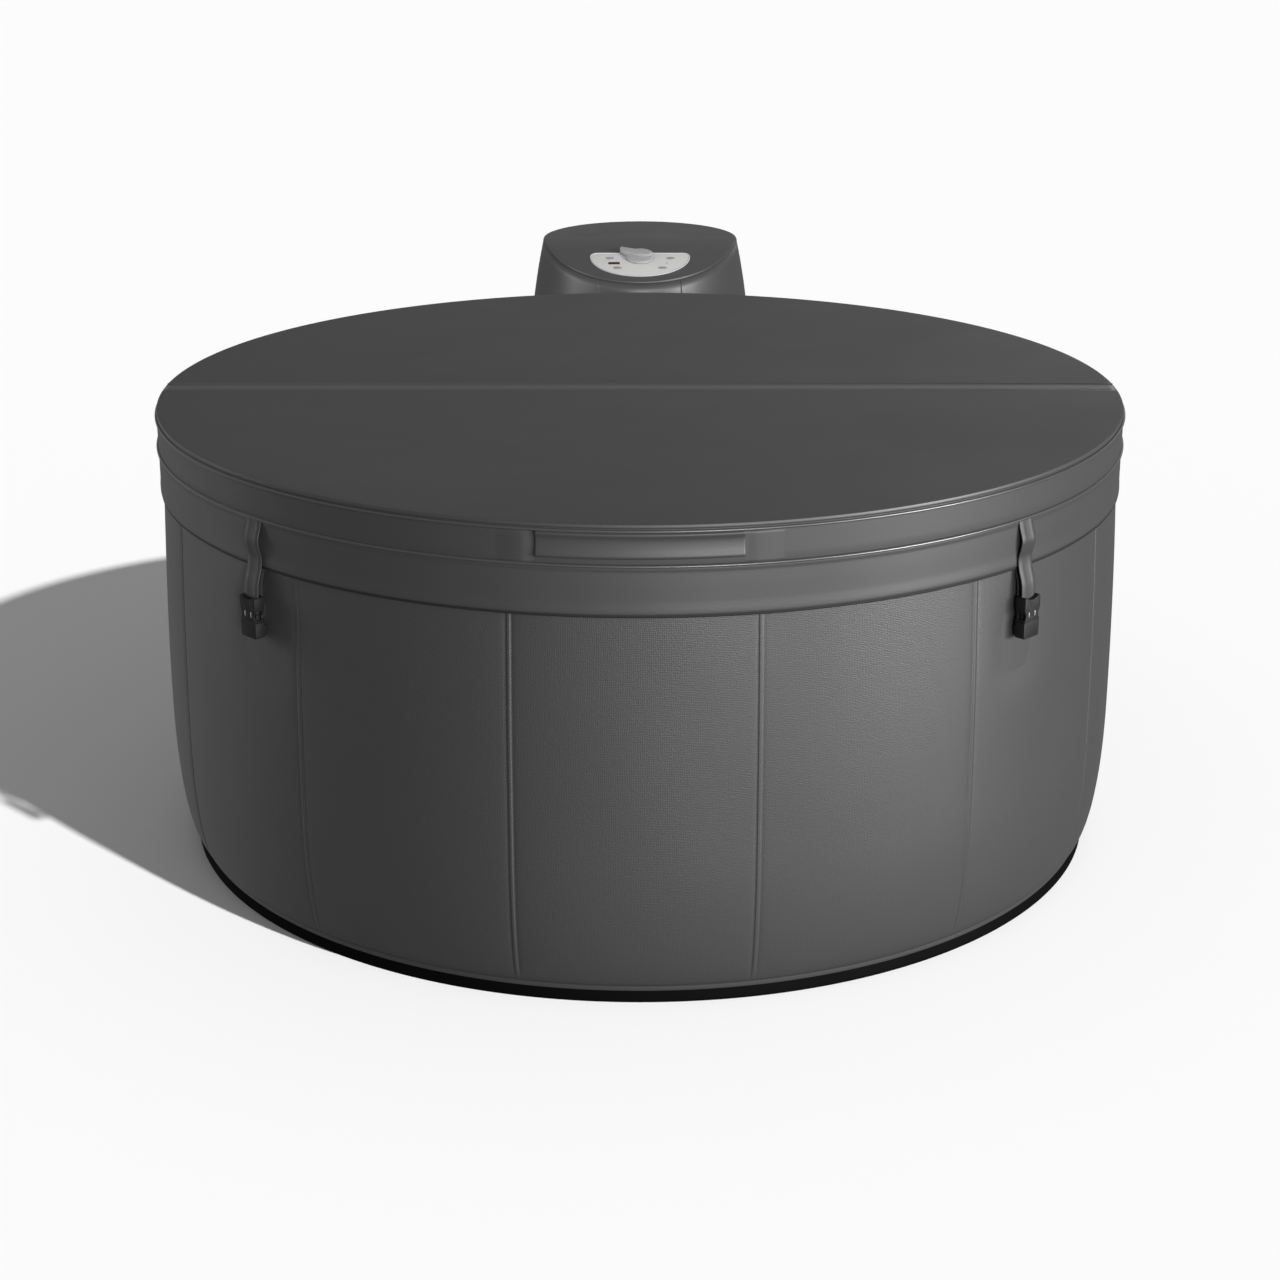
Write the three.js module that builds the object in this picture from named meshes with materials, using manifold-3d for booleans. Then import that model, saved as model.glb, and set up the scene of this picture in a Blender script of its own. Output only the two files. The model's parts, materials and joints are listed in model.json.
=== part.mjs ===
// Round soft-sided hot tub with a foam wall, a folding insulated cover and a separate power pack.
// Millimetres, +Z up. The origin is on the tub's axis at the underside; the front faces -Y.
import * as THREE from "three";
import { mergeVertices } from "three/addons/utils/BufferGeometryUtils.js";
import Module from "manifold-3d";

const wasm = await Module();
wasm.setup();

// ---- driving dimensions ----
const GAP = 0.3; // between pieces that touch
const PANELS = 14; // welded panels round the jacket
const RING = PANELS * 3; // facets of every large ring

const BASE_R = 724;
const BASE_H = 25;
const BASE_PLATE = 6;
const BELLY_R = 750; // jacket at its widest
const CORNER_H = 196; // height of the rounded lower corner
const NECK_R = 744; // jacket under the skirt
const RIM_Z = 638; // top of the jacket
const SKIN = 1.7; // vinyl of jacket, liner and cover
const WELL_R = 618; // inside of the liner
const FLOOR_PAD_TOP = 45;
const RIM_CHAMFER = 13;
const BEAD_R = 690; // where liner and jacket meet on the rim
const BEAD_H = 2.5;

const COVER_R = 750;
const COVER_TOP = 700;
const COVER_BAND_Z = 642; // lower edge of the cover's side band
const SKIRT_Z = 578;
const SKIRT_T = 2.3;
const PIPING_R = 2.6;
const TOP_PIPING_Z = 688;
const FOLD_GAP = 1.2; // from the fold line to each half
const STRIP_W = 21; // of the fold strip's rear half
const STRIP_T = 1;
const STRIP_END = 8; // from the cover's edge to the strip's ends

const HANDLE_HALF_ANGLE = 10.6; // degrees
const HANDLE_Z = [657, 685];
const HANDLE_STAND = 5; // finger gap behind the handle
const HANDLE_T = 3.6;

const STRAP_ANGLES = { front_left: 225, front_right: 315, rear_right: 45, rear_left: 135 };
const STRAP_W = 29;
const STRAP_T = 2.2;
const BUCKLE_W = 34;
const BUCKLE_R = [754, 770]; // back and face of the buckle, from the tub's axis
const SOCKET_Z = [497, 533];
const PLUG_Z = [473, 496.6];
const PRONG_H = 24;

const JET_ANGLES = { left: 130, right: 50 };
const JET_Z = 360;
const MANIFOLD_R = 670; // of its centre line
const MANIFOLD_TUBE_R = 13;
const PIPE_R = 24; // plumbing through the wall
const PIPE_END_Y = 775; // where the wall fittings meet the hoses
const SUCTION = { x: -110, z: 150 };
const RETURN = { x: 110, z: JET_Z };
const DRAIN = { angle: 118, z: 75 };
const LIGHT = { angle: 270, z: 300, r: 34 };
const FILTER_R = 52;
const FILTER_Z = [60, 300];
const FILTER_STAND = 22; // from the liner to the filter

const PACK_Y = 1040; // power pack's axis
const PACK_TOP_R = 190;
const PACK_FLARE = 50;
const PACK_FLARE_H = 220;
const PACK_TOP = 752;
const PACK_FRONT_Z = 706; // top edge at the very front
const PACK_SLOPE = 0.325; // of the panel's face
const PACK_WALL = 4;
const PACK_BASE_H = 40;
const PACK_SEAM = 22.9; // degrees from the front to each shell seam
const CAP_T = 6; // also the lip's height
const CAP_PROUD = 0.4; // of the shells
const PACK_SIDES = 30;

const PANEL_FRONT_Y = 858.6; // of the control panel's lower edge
const PANEL_BACK_Y = 946.5;
const PANEL_HALF_W = 97;
const PANEL_T = 5;
const PANEL_FACE = 1.2; // panel's face above the cap
const DIAL = { x: 0, y: 930, r: 28.5 };
const BUTTONS = {
  mode: [-58, 925], lower: [-43, 889], jets: [60, 925], light: [44, 889],
};
const BUTTON = { a: 8, b: 4.5, stand: 2, hole_gap: 0.6 };
const DISPLAY_AT = [-50, 907];
const DISPLAY_HALF = [12, 5];

const PUMP_Y = PACK_Y + 20; // pump's axis, along X
const PUMP_Z = 120;
const MOTOR_R = 62;
const VOLUTE = { x: -75, r: 70, width: 60 };
const SLEEVE = { x: -10, inner: 66, outer: 80, length: 130 }; // heat exchanger round the motor
const GLAND = { x: 90, z: 90, r: 12, from: 1240, to: 1300 };

// ---- materials ----
function material(colour, roughness, metalness = 0) {
  return new THREE.MeshStandardMaterial({ color: colour, roughness, metalness });
}
const VINYL = material(0x4c4c4e, 0.55);
const COVER_VINYL = material(0x464648, 0.6);
const LINER_VINYL = material(0x8a9399, 0.5);
const FOAM = material(0xd8d4c4, 0.95);
const BLACK_RUBBER = material(0x121212, 0.8);
const BLACK_PLASTIC = material(0x1c1c1e, 0.45);
const WEBBING = material(0x101010, 0.9);
const SHELL = material(0x4a4a4b, 0.4);
const PANEL = material(0xc4c4c8, 0.35);
const WHITE_PLASTIC = material(0xdcdcd8, 0.4);
const DISPLAY_RED = material(0x3a1014, 0.15);
const LENS = material(0xe8eef0, 0.1);
const FILTER = material(0xe6e8ea, 0.9);
const MOTOR = material(0x5a5f66, 0.4, 0.8);
const HOSE = material(0x7d8186, 0.6);
const BOX = material(0x9a9da0, 0.5);

// ---- solids ----
const root = new THREE.Group();

function solid(geometry) {
  const bare = new THREE.BufferGeometry();
  bare.setAttribute("position", geometry.getAttribute("position"));
  if (geometry.index) bare.setIndex(geometry.index);
  const merged = mergeVertices(bare, 1e-4);
  const mesh = new wasm.Mesh({
    numProp: 3,
    vertProperties: merged.attributes.position.array,
    triVerts: new Uint32Array(merged.index.array),
  });
  const made = new wasm.Manifold(mesh);
  if (made.volume() > 0) return made;
  for (let i = 0; i < mesh.triVerts.length; i += 3) {
    [mesh.triVerts[i], mesh.triVerts[i + 1]] = [mesh.triVerts[i + 1], mesh.triVerts[i]];
  }
  return new wasm.Manifold(mesh);
}

function geometryOf(manifold) {
  const mesh = manifold.getMesh();
  const geometry = new THREE.BufferGeometry();
  geometry.setAttribute("position", new THREE.BufferAttribute(mesh.vertProperties, 3));
  geometry.setIndex(new THREE.BufferAttribute(mesh.triVerts, 1));
  geometry.computeVertexNormals();
  return geometry;
}

function add(name, manifold, look) {
  const mesh = new THREE.Mesh(geometryOf(manifold), look);
  mesh.name = name;
  root.add(mesh);
}

// A profile of [r, z] pairs turned about Z; vertices fall on multiples of 360/segments from +X.
function turned(profile, segments) {
  const points = profile.map(([r, z]) => new THREE.Vector2(r, z));
  const geometry = new THREE.LatheGeometry(points, segments);
  return solid(geometry.rotateX(Math.PI / 2).rotateZ(Math.PI / 2));
}

// A closed ring section: the profile goes back to its first point.
function ring(profile, segments = RING) {
  return turned([...profile, profile[0]], segments);
}

function box(x0, x1, y0, y1, z0, z1) {
  const geometry = new THREE.BoxGeometry(x1 - x0, y1 - y0, z1 - z0);
  return solid(geometry.translate((x0 + x1) / 2, (y0 + y1) / 2, (z0 + z1) / 2));
}

function extruded(points, depth, options = {}) {
  const shape = points instanceof THREE.Shape ? points
    : new THREE.Shape(points.map(([x, y]) => new THREE.Vector2(x, y)));
  return new THREE.ExtrudeGeometry(shape, { depth, bevelEnabled: false, curveSegments: 10, ...options });
}

// An outline in the XZ plane, pulled along X by width and centred on x = 0.
function sideProfile(points, width) {
  const geometry = extruded(points, width).translate(0, 0, -width / 2);
  return solid(geometry.rotateX(Math.PI / 2).rotateZ(Math.PI / 2));
}

function circlePoints(r, sides) {
  return Array.from({ length: sides }, (_, i) => {
    const a = (i / sides) * 2 * Math.PI;
    return [r * Math.cos(a), r * Math.sin(a)];
  });
}

function tube(points, r, steps, sides = 10) {
  const path = new THREE.CatmullRomCurve3(points.map((p) => new THREE.Vector3(...p)));
  return solid(extruded(circlePoints(r, sides), 1, { extrudePath: path, steps }));
}

const radians = THREE.MathUtils.degToRad;

// Local +Z becomes the outward radius at an angle from +X, at height z.
function outward(manifold, angle, z) {
  const frame = new THREE.Matrix4().makeRotationZ(radians(angle))
    .multiply(new THREE.Matrix4().makeRotationY(Math.PI / 2));
  frame.setPosition(0, 0, z);
  return manifold.transform(frame.toArray());
}

// Local +Z becomes +Y.
function backward(manifold, x, z) {
  const frame = new THREE.Matrix4().makeRotationX(-Math.PI / 2);
  frame.setPosition(x, 0, z);
  return manifold.transform(frame.toArray());
}

// Local +X becomes the outward radius at an angle from +X.
function atAngle(manifold, angle) {
  return manifold.transform(new THREE.Matrix4().makeRotationZ(radians(angle)).toArray());
}

// ---- tub wall ----
// The wall's outer profile, set in from the jacket's face by an inset, from the base up to the rim.
function wallOutline(inset) {
  const points = [];
  const steps = 5;
  for (let i = 0; i <= steps; i++) {
    const a = (1 - i / steps) * Math.PI / 2;
    const r = BASE_R + (BELLY_R - BASE_R) * Math.cos(a);
    points.push([r - inset, BASE_H + GAP + CORNER_H * (1 - Math.sin(a))]);
  }
  points.push([NECK_R - inset, SKIRT_Z]);
  points.push([NECK_R - inset, RIM_Z - RIM_CHAMFER - inset / 3]);
  points.push([NECK_R - RIM_CHAMFER - inset / 3, RIM_Z - inset]);
  return points;
}

const wallPipe = (r) => turned([[0, 560], [r, 560], [r, 800], [0, 800]], 16);
const jetBore = turned([[0, 560], [21, 560], [21, 672], [0, 672]], 12);

function manifoldArc(r, overrun) {
  const points = [];
  const from = JET_ANGLES.right - 3 - overrun;
  const to = JET_ANGLES.left + 3 + overrun;
  const steps = 14;
  for (let i = 0; i <= steps; i++) {
    const a = radians(from + ((to - from) * i) / steps);
    points.push([MANIFOLD_R * Math.cos(a), MANIFOLD_R * Math.sin(a), JET_Z]);
  }
  return tube(points, r, steps, 8);
}

function makeTub() {
  const plate = [[0, 0], [BASE_R, 0], [BASE_R, BASE_H], [BASE_R - 18, BASE_H],
    [BASE_R - 18, BASE_PLATE], [0, BASE_PLATE]];
  add("base_band", turned(plate, RING), BLACK_RUBBER);

  const padR = BASE_R - 18 - GAP;
  const pad = [[0, BASE_PLATE + GAP], [padR, BASE_PLATE + GAP], [padR, BASE_H],
    [WELL_R - 1, BASE_H], [WELL_R - 1, FLOOR_PAD_TOP], [0, FLOOR_PAD_TOP]];
  add("floor_pad", turned(pad, RING), FOAM);

  const innerR = WELL_R + SKIN + GAP;
  const rimZ = RIM_Z - SKIN - GAP;
  const core = ring([...wallOutline(SKIN + GAP), [innerR + RIM_CHAMFER, rimZ],
    [innerR, rimZ - RIM_CHAMFER], [innerR, BASE_H + GAP]]);
  const jacket = ring([...wallOutline(0), [BEAD_R + GAP, RIM_Z], [BEAD_R + GAP, RIM_Z - SKIN],
    ...wallOutline(SKIN).reverse()]);
  const linerWall = [[0, FLOOR_PAD_TOP + GAP], [innerR - GAP, FLOOR_PAD_TOP + GAP],
    [innerR - GAP, rimZ - RIM_CHAMFER + GAP / 2], [innerR + RIM_CHAMFER - GAP / 2, rimZ + GAP],
    [BEAD_R - GAP, rimZ + GAP], [BEAD_R - GAP, RIM_Z], [WELL_R + RIM_CHAMFER, RIM_Z],
    [WELL_R, RIM_Z - RIM_CHAMFER], [WELL_R, FLOOR_PAD_TOP + GAP + SKIN], [0, FLOOR_PAD_TOP + GAP + SKIN]];
  const liner = turned(linerWall, RING);

  const suctionHole = backward(wallPipe(PIPE_R + GAP), SUCTION.x, SUCTION.z);
  const returnHole = backward(turned([[0, 676], [PIPE_R + GAP, 676], [PIPE_R + GAP, 800], [0, 800]], 16),
    RETURN.x, RETURN.z);
  const drainHole = outward(turned([[0, 698], [18.5, 698], [18.5, 800], [0, 800]], 14), DRAIN.angle, DRAIN.z);
  const jetHoles = Object.values(JET_ANGLES).map((angle) => outward(jetBore, angle, JET_Z));
  let cutCore = core.subtract(manifoldArc(MANIFOLD_TUBE_R + 1.2, 0.6));
  for (const hole of [suctionHole, returnHole, drainHole, ...jetHoles]) cutCore = cutCore.subtract(hole);
  add("wall_core", cutCore, FOAM);
  add("outer_jacket", jacket.subtract(suctionHole).subtract(returnHole).subtract(drainHole), VINYL);
  let cutLiner = liner.subtract(suctionHole);
  for (const hole of jetHoles) cutLiner = cutLiner.subtract(hole);
  add("liner", cutLiner, LINER_VINYL);
  add("rim_bead", ring([[BEAD_R - 5, RIM_Z + GAP], [BEAD_R + 5, RIM_Z + GAP],
    [BEAD_R + 3, RIM_Z + BEAD_H], [BEAD_R - 3, RIM_Z + BEAD_H]]), VINYL);
}

// ---- plumbing in the wall ----
function makeJets() {
  const flange = WELL_R - 3; // the flat flange clears the faceted liner
  for (const [side, angle] of Object.entries(JET_ANGLES)) {
    const body = ring([[36, flange], [36, flange - 6], [24, flange - 14], [10, flange - 14],
      [16.5, flange - 7], [17.5, flange - 1], [15, flange + 8], [9, flange + 12],
      [9, MANIFOLD_R - MANIFOLD_TUBE_R - 1], [20, MANIFOLD_R - MANIFOLD_TUBE_R - 1], [20, flange]], 12);
    add(`jet_body_${side}`, outward(body, angle, JET_Z), WHITE_PLASTIC);
    const centre = flange - 1;
    const ball = [[4, centre + 10]];
    for (let i = 1; i <= 6; i++) {
      const a = radians(90 - 24 * i + 12);
      ball.push([12.5 * Math.cos(a), centre + 12.5 * Math.sin(a)]);
    }
    ball.push([4, centre - 12]);
    add(`jet_nozzle_${side}`, outward(ring(ball, 12), angle, JET_Z), WHITE_PLASTIC);
  }
  add("jet_manifold", manifoldArc(MANIFOLD_TUBE_R, 0), HOSE);
}

// The inner end of the suction pipe, where the filter housing stands.
const suctionEnd = Math.sqrt(WELL_R ** 2 - SUCTION.x ** 2) - FILTER_STAND;

function pipe(bore, from) {
  return ring([[bore, from], [PIPE_R, from], [PIPE_R, PIPE_END_Y], [bore, PIPE_END_Y]], 16);
}

function makeFittings() {
  add("suction_fitting", backward(pipe(16, suctionEnd), SUCTION.x, SUCTION.z), WHITE_PLASTIC);
  const outlet = pipe(12, MANIFOLD_R + MANIFOLD_TUBE_R + 1);
  add("return_fitting", backward(outlet, RETURN.x, RETURN.z), WHITE_PLASTIC);
  const lens = turned([[0, WELL_R - 3], [LIGHT.r, WELL_R - 3], [LIGHT.r, WELL_R - 7],
    [LIGHT.r - 12, WELL_R - 13], [0, WELL_R - 15]], 16);
  add("light_lens", outward(lens, LIGHT.angle, LIGHT.z), LENS);

  const face = BELLY_R + 3;
  const drain = ring([[9, BELLY_R - 50], [17.5, BELLY_R - 50], [17.5, face - 6], [30, face - 6], [30, face],
    [9, face]], 14);
  add("drain_fitting", outward(drain, DRAIN.angle, DRAIN.z), BLACK_PLASTIC);
  const foot = face + 0.5;
  const knob = turned([[0, foot], [22, foot], [22, foot + 14.5], [18, foot + 18.5], [0, foot + 18.5]], 10);
  const wing = box(-20, 20, -3, 3, foot + 17.5, foot + 28.5);
  add("drain_cap", outward(knob.add(wing), DRAIN.angle, DRAIN.z), BLACK_PLASTIC);
}

function makeFilter() {
  const place = (manifold) => manifold.translate([SUCTION.x, suctionEnd - GAP - FILTER_R, 0]);
  const [low, high] = FILTER_Z;
  const wall = 4;
  const cup = turned([[0, low], [FILTER_R, low], [FILTER_R, high], [FILTER_R - wall, high],
    [FILTER_R - wall, low + wall], [0, low + wall]], 20);
  const port = backward(turned([[0, 0], [14, 0], [14, 100], [0, 100]], 12), 0, SUCTION.z);
  add("filter_housing", place(cup.subtract(port)), WHITE_PLASTIC);
  const cartridgeR = FILTER_R - 2 * wall;
  const cartridge = ring([[20, low + 6], [cartridgeR, low + 6], [cartridgeR, high - 14],
    [20, high - 14]], 20);
  add("filter_cartridge", place(cartridge), FILTER);
}

// ---- cover ----
function halfOf(manifold, side) {
  const reach = COVER_R + 50;
  const keep = side === "front" ? box(-reach, reach, -reach, -FOLD_GAP, 500, 800)
    : box(-reach, reach, FOLD_GAP, reach, 500, 800);
  return manifold.intersect(keep);
}

function piping(z, r) {
  return ring(circlePoints(PIPING_R, 6).map(([a, b]) => [r + PIPING_R / 2 + a, z + b]));
}

function makeCover() {
  const under = RIM_Z + BEAD_H + GAP;
  const bandInner = COVER_R - SKIN;
  const foam = turned([[0, under], [bandInner - GAP, under],
    [bandInner - GAP, COVER_TOP - SKIN - 4], [bandInner - 4, COVER_TOP - SKIN - GAP],
    [0, COVER_TOP - SKIN - GAP]], RING);
  const shell = turned([[0, COVER_TOP], [COVER_R - 4, COVER_TOP], [COVER_R, COVER_TOP - 4],
    [COVER_R, COVER_BAND_Z], [bandInner, COVER_BAND_Z], [bandInner, COVER_TOP - SKIN - 3.6],
    [bandInner - 3.6, COVER_TOP - SKIN], [0, COVER_TOP - SKIN]], RING);
  const shellWithPiping = shell.add(piping(TOP_PIPING_Z, COVER_R)).add(piping(COVER_BAND_Z + 2, COVER_R));
  const skirtTop = COVER_BAND_Z - PIPING_R;
  const skirt = ring([[COVER_R - SKIRT_T, SKIRT_Z], [COVER_R, SKIRT_Z], [COVER_R, skirtTop],
    [COVER_R - SKIRT_T, skirtTop]]);
  for (const side of ["front", "rear"]) {
    add(`cover_foam_${side}`, halfOf(foam, side), FOAM);
    add(`cover_shell_${side}`, halfOf(shellWithPiping, side), COVER_VINYL);
    add(`cover_skirt_${side}`, halfOf(skirt, side), COVER_VINYL);
  }
  const stripEnd = COVER_R - STRIP_END;
  add("cover_fold_strip", box(-stripEnd, stripEnd, FOLD_GAP, STRIP_W,
    COVER_TOP + GAP, COVER_TOP + GAP + STRIP_T), COVER_VINYL);
}

function makeHandle() {
  const outer = COVER_R + GAP + HANDLE_STAND + HANDLE_T;
  const inner = COVER_R + GAP + HANDLE_STAND;
  const foot = COVER_R + GAP + 0.3;
  const sides = RING * 2;
  const bar = turnedSector([[inner, HANDLE_Z[0]], [outer - 1, HANDLE_Z[0]], [outer, HANDLE_Z[0] + 3],
    [outer - 2, HANDLE_Z[0] + 14], [outer, HANDLE_Z[1] - 3], [outer - 1, HANDLE_Z[1]],
    [inner, HANDLE_Z[1]]], sides, HANDLE_HALF_ANGLE + 1.6);
  const lift = turnedSector([[foot, HANDLE_Z[0]], [inner + 1, HANDLE_Z[0]], [inner + 1, HANDLE_Z[1]],
    [foot, HANDLE_Z[1]]], sides, HANDLE_HALF_ANGLE + 1.6);
  const middle = turnedSector([[foot - 5, HANDLE_Z[0] - 5], [inner + 0.01, HANDLE_Z[0] - 5],
    [inner + 0.01, HANDLE_Z[1] + 5], [foot - 5, HANDLE_Z[1] + 5]], sides, HANDLE_HALF_ANGLE - 0.5);
  add("cover_handle", bar.add(lift).subtract(middle), COVER_VINYL);
}

// A ring section cut to a sector centred on the front.
function turnedSector(profile, segments, halfAngle) {
  const reach = 1000;
  const x = reach * Math.tan(radians(halfAngle));
  const wedge = solid(extruded([[0, 0], [-x, -reach], [x, -reach]], 400)).translate([0, 0, 400]);
  return ring(profile, segments).intersect(wedge);
}

// ---- cover locks ----
function makeStrap(name, angle) {
  const top = COVER_BAND_Z - PIPING_R - 2;
  const middle = [[751.6, top], [753.6, 630], [757.5, 612], [755.5, 598], [752.6, 586],
    [754.8, 571], [759.5, 555], [761.2, 543], [762, SOCKET_Z[1] + 0.5]];
  const back = middle.map(([r, z]) => [r - STRAP_T / 2, z]);
  const face = middle.map(([r, z]) => [r + STRAP_T / 2, z]).reverse();
  const strap = solid(extruded([...back, ...face], STRAP_W).translate(0, 0, -STRAP_W / 2)
    .rotateX(Math.PI / 2));
  add(`lock_strap_${name}`, atAngle(strap, angle), COVER_VINYL);
}

function makeSocket(name, angle) {
  const [back, face] = BUCKLE_R;
  const half = BUCKLE_W / 2;
  const block = box(back, face, -half, half, ...SOCKET_Z);
  const pocket = box(back + 3, face - 3, -half + 3, half - 3, SOCKET_Z[0] - 1, SOCKET_Z[0] + 28);
  const windows = box(back + 4, face - 4, -half - 1, half + 1, SOCKET_Z[0] + 4, SOCKET_Z[0] + 15);
  add(`buckle_socket_${name}`, atAngle(block.subtract(pocket).subtract(windows), angle), BLACK_PLASTIC);
}

function makePlug(name, angle) {
  const [back, face] = BUCKLE_R;
  const half = BUCKLE_W / 2;
  const base = box(back, face, -half, half, ...PLUG_Z);
  const loop = box(back - 5, back + 1, -16, 16, PLUG_Z[0] + 3, PLUG_Z[1] - 5);
  const slot = box(back - 3.3, back - 0.4, -13.5, 13.5, PLUG_Z[0], PLUG_Z[1]);
  const prong = (y) => box(back + 4, face - 4, y - 3, y + 3, PLUG_Z[1] - 1, PLUG_Z[1] + PRONG_H);
  const plug = base.add(loop).subtract(slot).add(prong(-half + 7)).add(prong(half - 7)).add(prong(0));
  add(`buckle_plug_${name}`, atAngle(plug, angle), BLACK_PLASTIC);
}

function makeWebbing(name, angle) {
  const line = [[744.95, 606], [744.95, 572], [752.1, 548], [752.1, PLUG_Z[0] + 1]];
  const thick = 1;
  const back = line.map(([r, z]) => [r - thick / 2, z]);
  const face = line.map(([r, z]) => [r + thick / 2, z]).reverse();
  const webbing = solid(extruded([...back, ...face], 25).translate(0, 0, -12.5).rotateX(Math.PI / 2));
  add(`lock_webbing_${name}`, atAngle(webbing, angle), WEBBING);
}

// ---- power pack ----
function packRadius(z) {
  const below = PACK_TOP - z;
  return PACK_TOP_R + PACK_FLARE * (1 - Math.exp(-Math.max(below, 0) / PACK_FLARE_H));
}

function packWall(inset, from, to) {
  const steps = 5;
  return Array.from({ length: steps + 1 }, (_, i) => {
    const z = from + ((to - from) * i) / steps;
    return [packRadius(z) - inset, z];
  });
}

// Everything under the cap's face, lowered by drop: level at the back, bent down to a flat slope in front.
function underCap(drop) {
  const front = PACK_Y - PACK_TOP_R;
  const bend = 958;
  const flat = 1030;
  const far = 300;
  const slopeZ = (y) => PACK_FRONT_Z + PACK_SLOPE * (y - front);
  const shape = new THREE.Shape();
  shape.moveTo(front - far, -50);
  shape.lineTo(front - far, slopeZ(front - far) - drop);
  shape.lineTo(bend, slopeZ(bend) - drop);
  const meet = front + (PACK_TOP - PACK_FRONT_Z) / PACK_SLOPE;
  shape.quadraticCurveTo(meet, PACK_TOP - drop, flat, PACK_TOP - drop);
  shape.lineTo(PACK_Y + far, PACK_TOP - drop);
  shape.lineTo(PACK_Y + far, -50);
  return sideProfile(shape, 2 * far);
}

function packSector(halfAngle) {
  const reach = 600;
  const x = reach * Math.tan(radians(halfAngle));
  return solid(extruded([[0, PACK_Y], [-x, PACK_Y - reach], [x, PACK_Y - reach]], 1000));
}

const hosePorts = () => [
  backward(turned([[0, 700], [PIPE_R + 1, 700], [PIPE_R + 1, 900], [0, 900]], 12), SUCTION.x, SUCTION.z),
  backward(turned([[0, 700], [PIPE_R + 1, 700], [PIPE_R + 1, 900], [0, 900]], 12), RETURN.x, RETURN.z),
];

function onPack(manifold) {
  return manifold.translate([0, PACK_Y, 0]);
}

function makePackShell() {
  const foot = packRadius(0) - 14;
  const tray = turned([[0, 0], [foot, 0], [packRadius(10) - 4, 10], [packRadius(PACK_BASE_H), PACK_BASE_H],
    [packRadius(PACK_BASE_H) - PACK_WALL, PACK_BASE_H], [foot - 6, 8], [0, 8]], PACK_SIDES);
  add("pack_base", onPack(tray), BLACK_PLASTIC);
  const low = PACK_BASE_H + GAP;
  const walls = onPack(ring([...packWall(0, low, PACK_TOP), ...packWall(PACK_WALL, low, PACK_TOP).reverse()],
    PACK_SIDES));
  let trimmed = walls.intersect(underCap(CAP_T + GAP));
  for (const port of hosePorts()) trimmed = trimmed.subtract(port);
  const glandHole = turned([[0, 1200], [GLAND.r + 0.6, 1200], [GLAND.r + 0.6, GLAND.to], [0, GLAND.to]], 12);
  const gland = backward(glandHole, GLAND.x, GLAND.z);
  add("pack_shell_front", trimmed.intersect(packSector(PACK_SEAM - 0.1)), SHELL);
  add("pack_shell_rear", trimmed.subtract(packSector(PACK_SEAM + 0.1)).subtract(gland), SHELL);
  const cap = onPack(turned([[0, 640], [packRadius(640) + CAP_PROUD, 640],
    ...packWall(-CAP_PROUD, 660, PACK_TOP - 6), [PACK_TOP_R - 2, PACK_TOP + 4], [0, PACK_TOP + 4]],
  PACK_SIDES));
  const sheet = cap.intersect(underCap(0).subtract(underCap(CAP_T)));
  const recess = panelSolid(GAP + 0.2, PANEL_FACE - PANEL_T, 20);
  add("pack_top_cap", sheet.subtract(recess), SHELL);
}

// Carries a solid from the XY plane, with its origin at the panel's centre line, onto the sloped face.
function onPanel(manifold) {
  const front = PACK_Y - PACK_TOP_R;
  const frame = new THREE.Matrix4().makeRotationX(Math.atan(PACK_SLOPE));
  frame.setPosition(0, PANEL_FRONT_Y, PACK_FRONT_Z + PACK_SLOPE * (PANEL_FRONT_Y - front));
  return manifold.transform(frame.toArray());
}

const SLOPE_STRETCH = Math.hypot(1, PACK_SLOPE);
const PANEL_LENGTH = (PANEL_BACK_Y - PANEL_FRONT_Y) * SLOPE_STRETCH;

function onPanelPlace([x, y]) {
  return [x, (y - PANEL_FRONT_Y) * SLOPE_STRETCH];
}

// Half-moon: straight along the back, half an ellipse in front, with rounded corners.
function panelSolid(grow, low, high) {
  const corner = 14;
  const a = PANEL_HALF_W + grow;
  const back = PANEL_LENGTH + grow;
  const shape = new THREE.Shape();
  shape.moveTo(-a, back - corner);
  shape.absellipse(0, back - corner, a, back - corner + grow, Math.PI, 2 * Math.PI, false);
  shape.quadraticCurveTo(a, back, a - corner, back);
  shape.lineTo(-a + corner, back);
  shape.quadraticCurveTo(-a, back, -a, back - corner);
  return onPanel(solid(extruded(shape, high - low, { curveSegments: 14 }).translate(0, 0, low)));
}

function oval(a, b, low, high, sides = 16) {
  const points = circlePoints(1, sides).map(([x, y]) => [x * a, y * b]);
  return solid(extruded(points, high - low).translate(0, 0, low));
}

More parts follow.
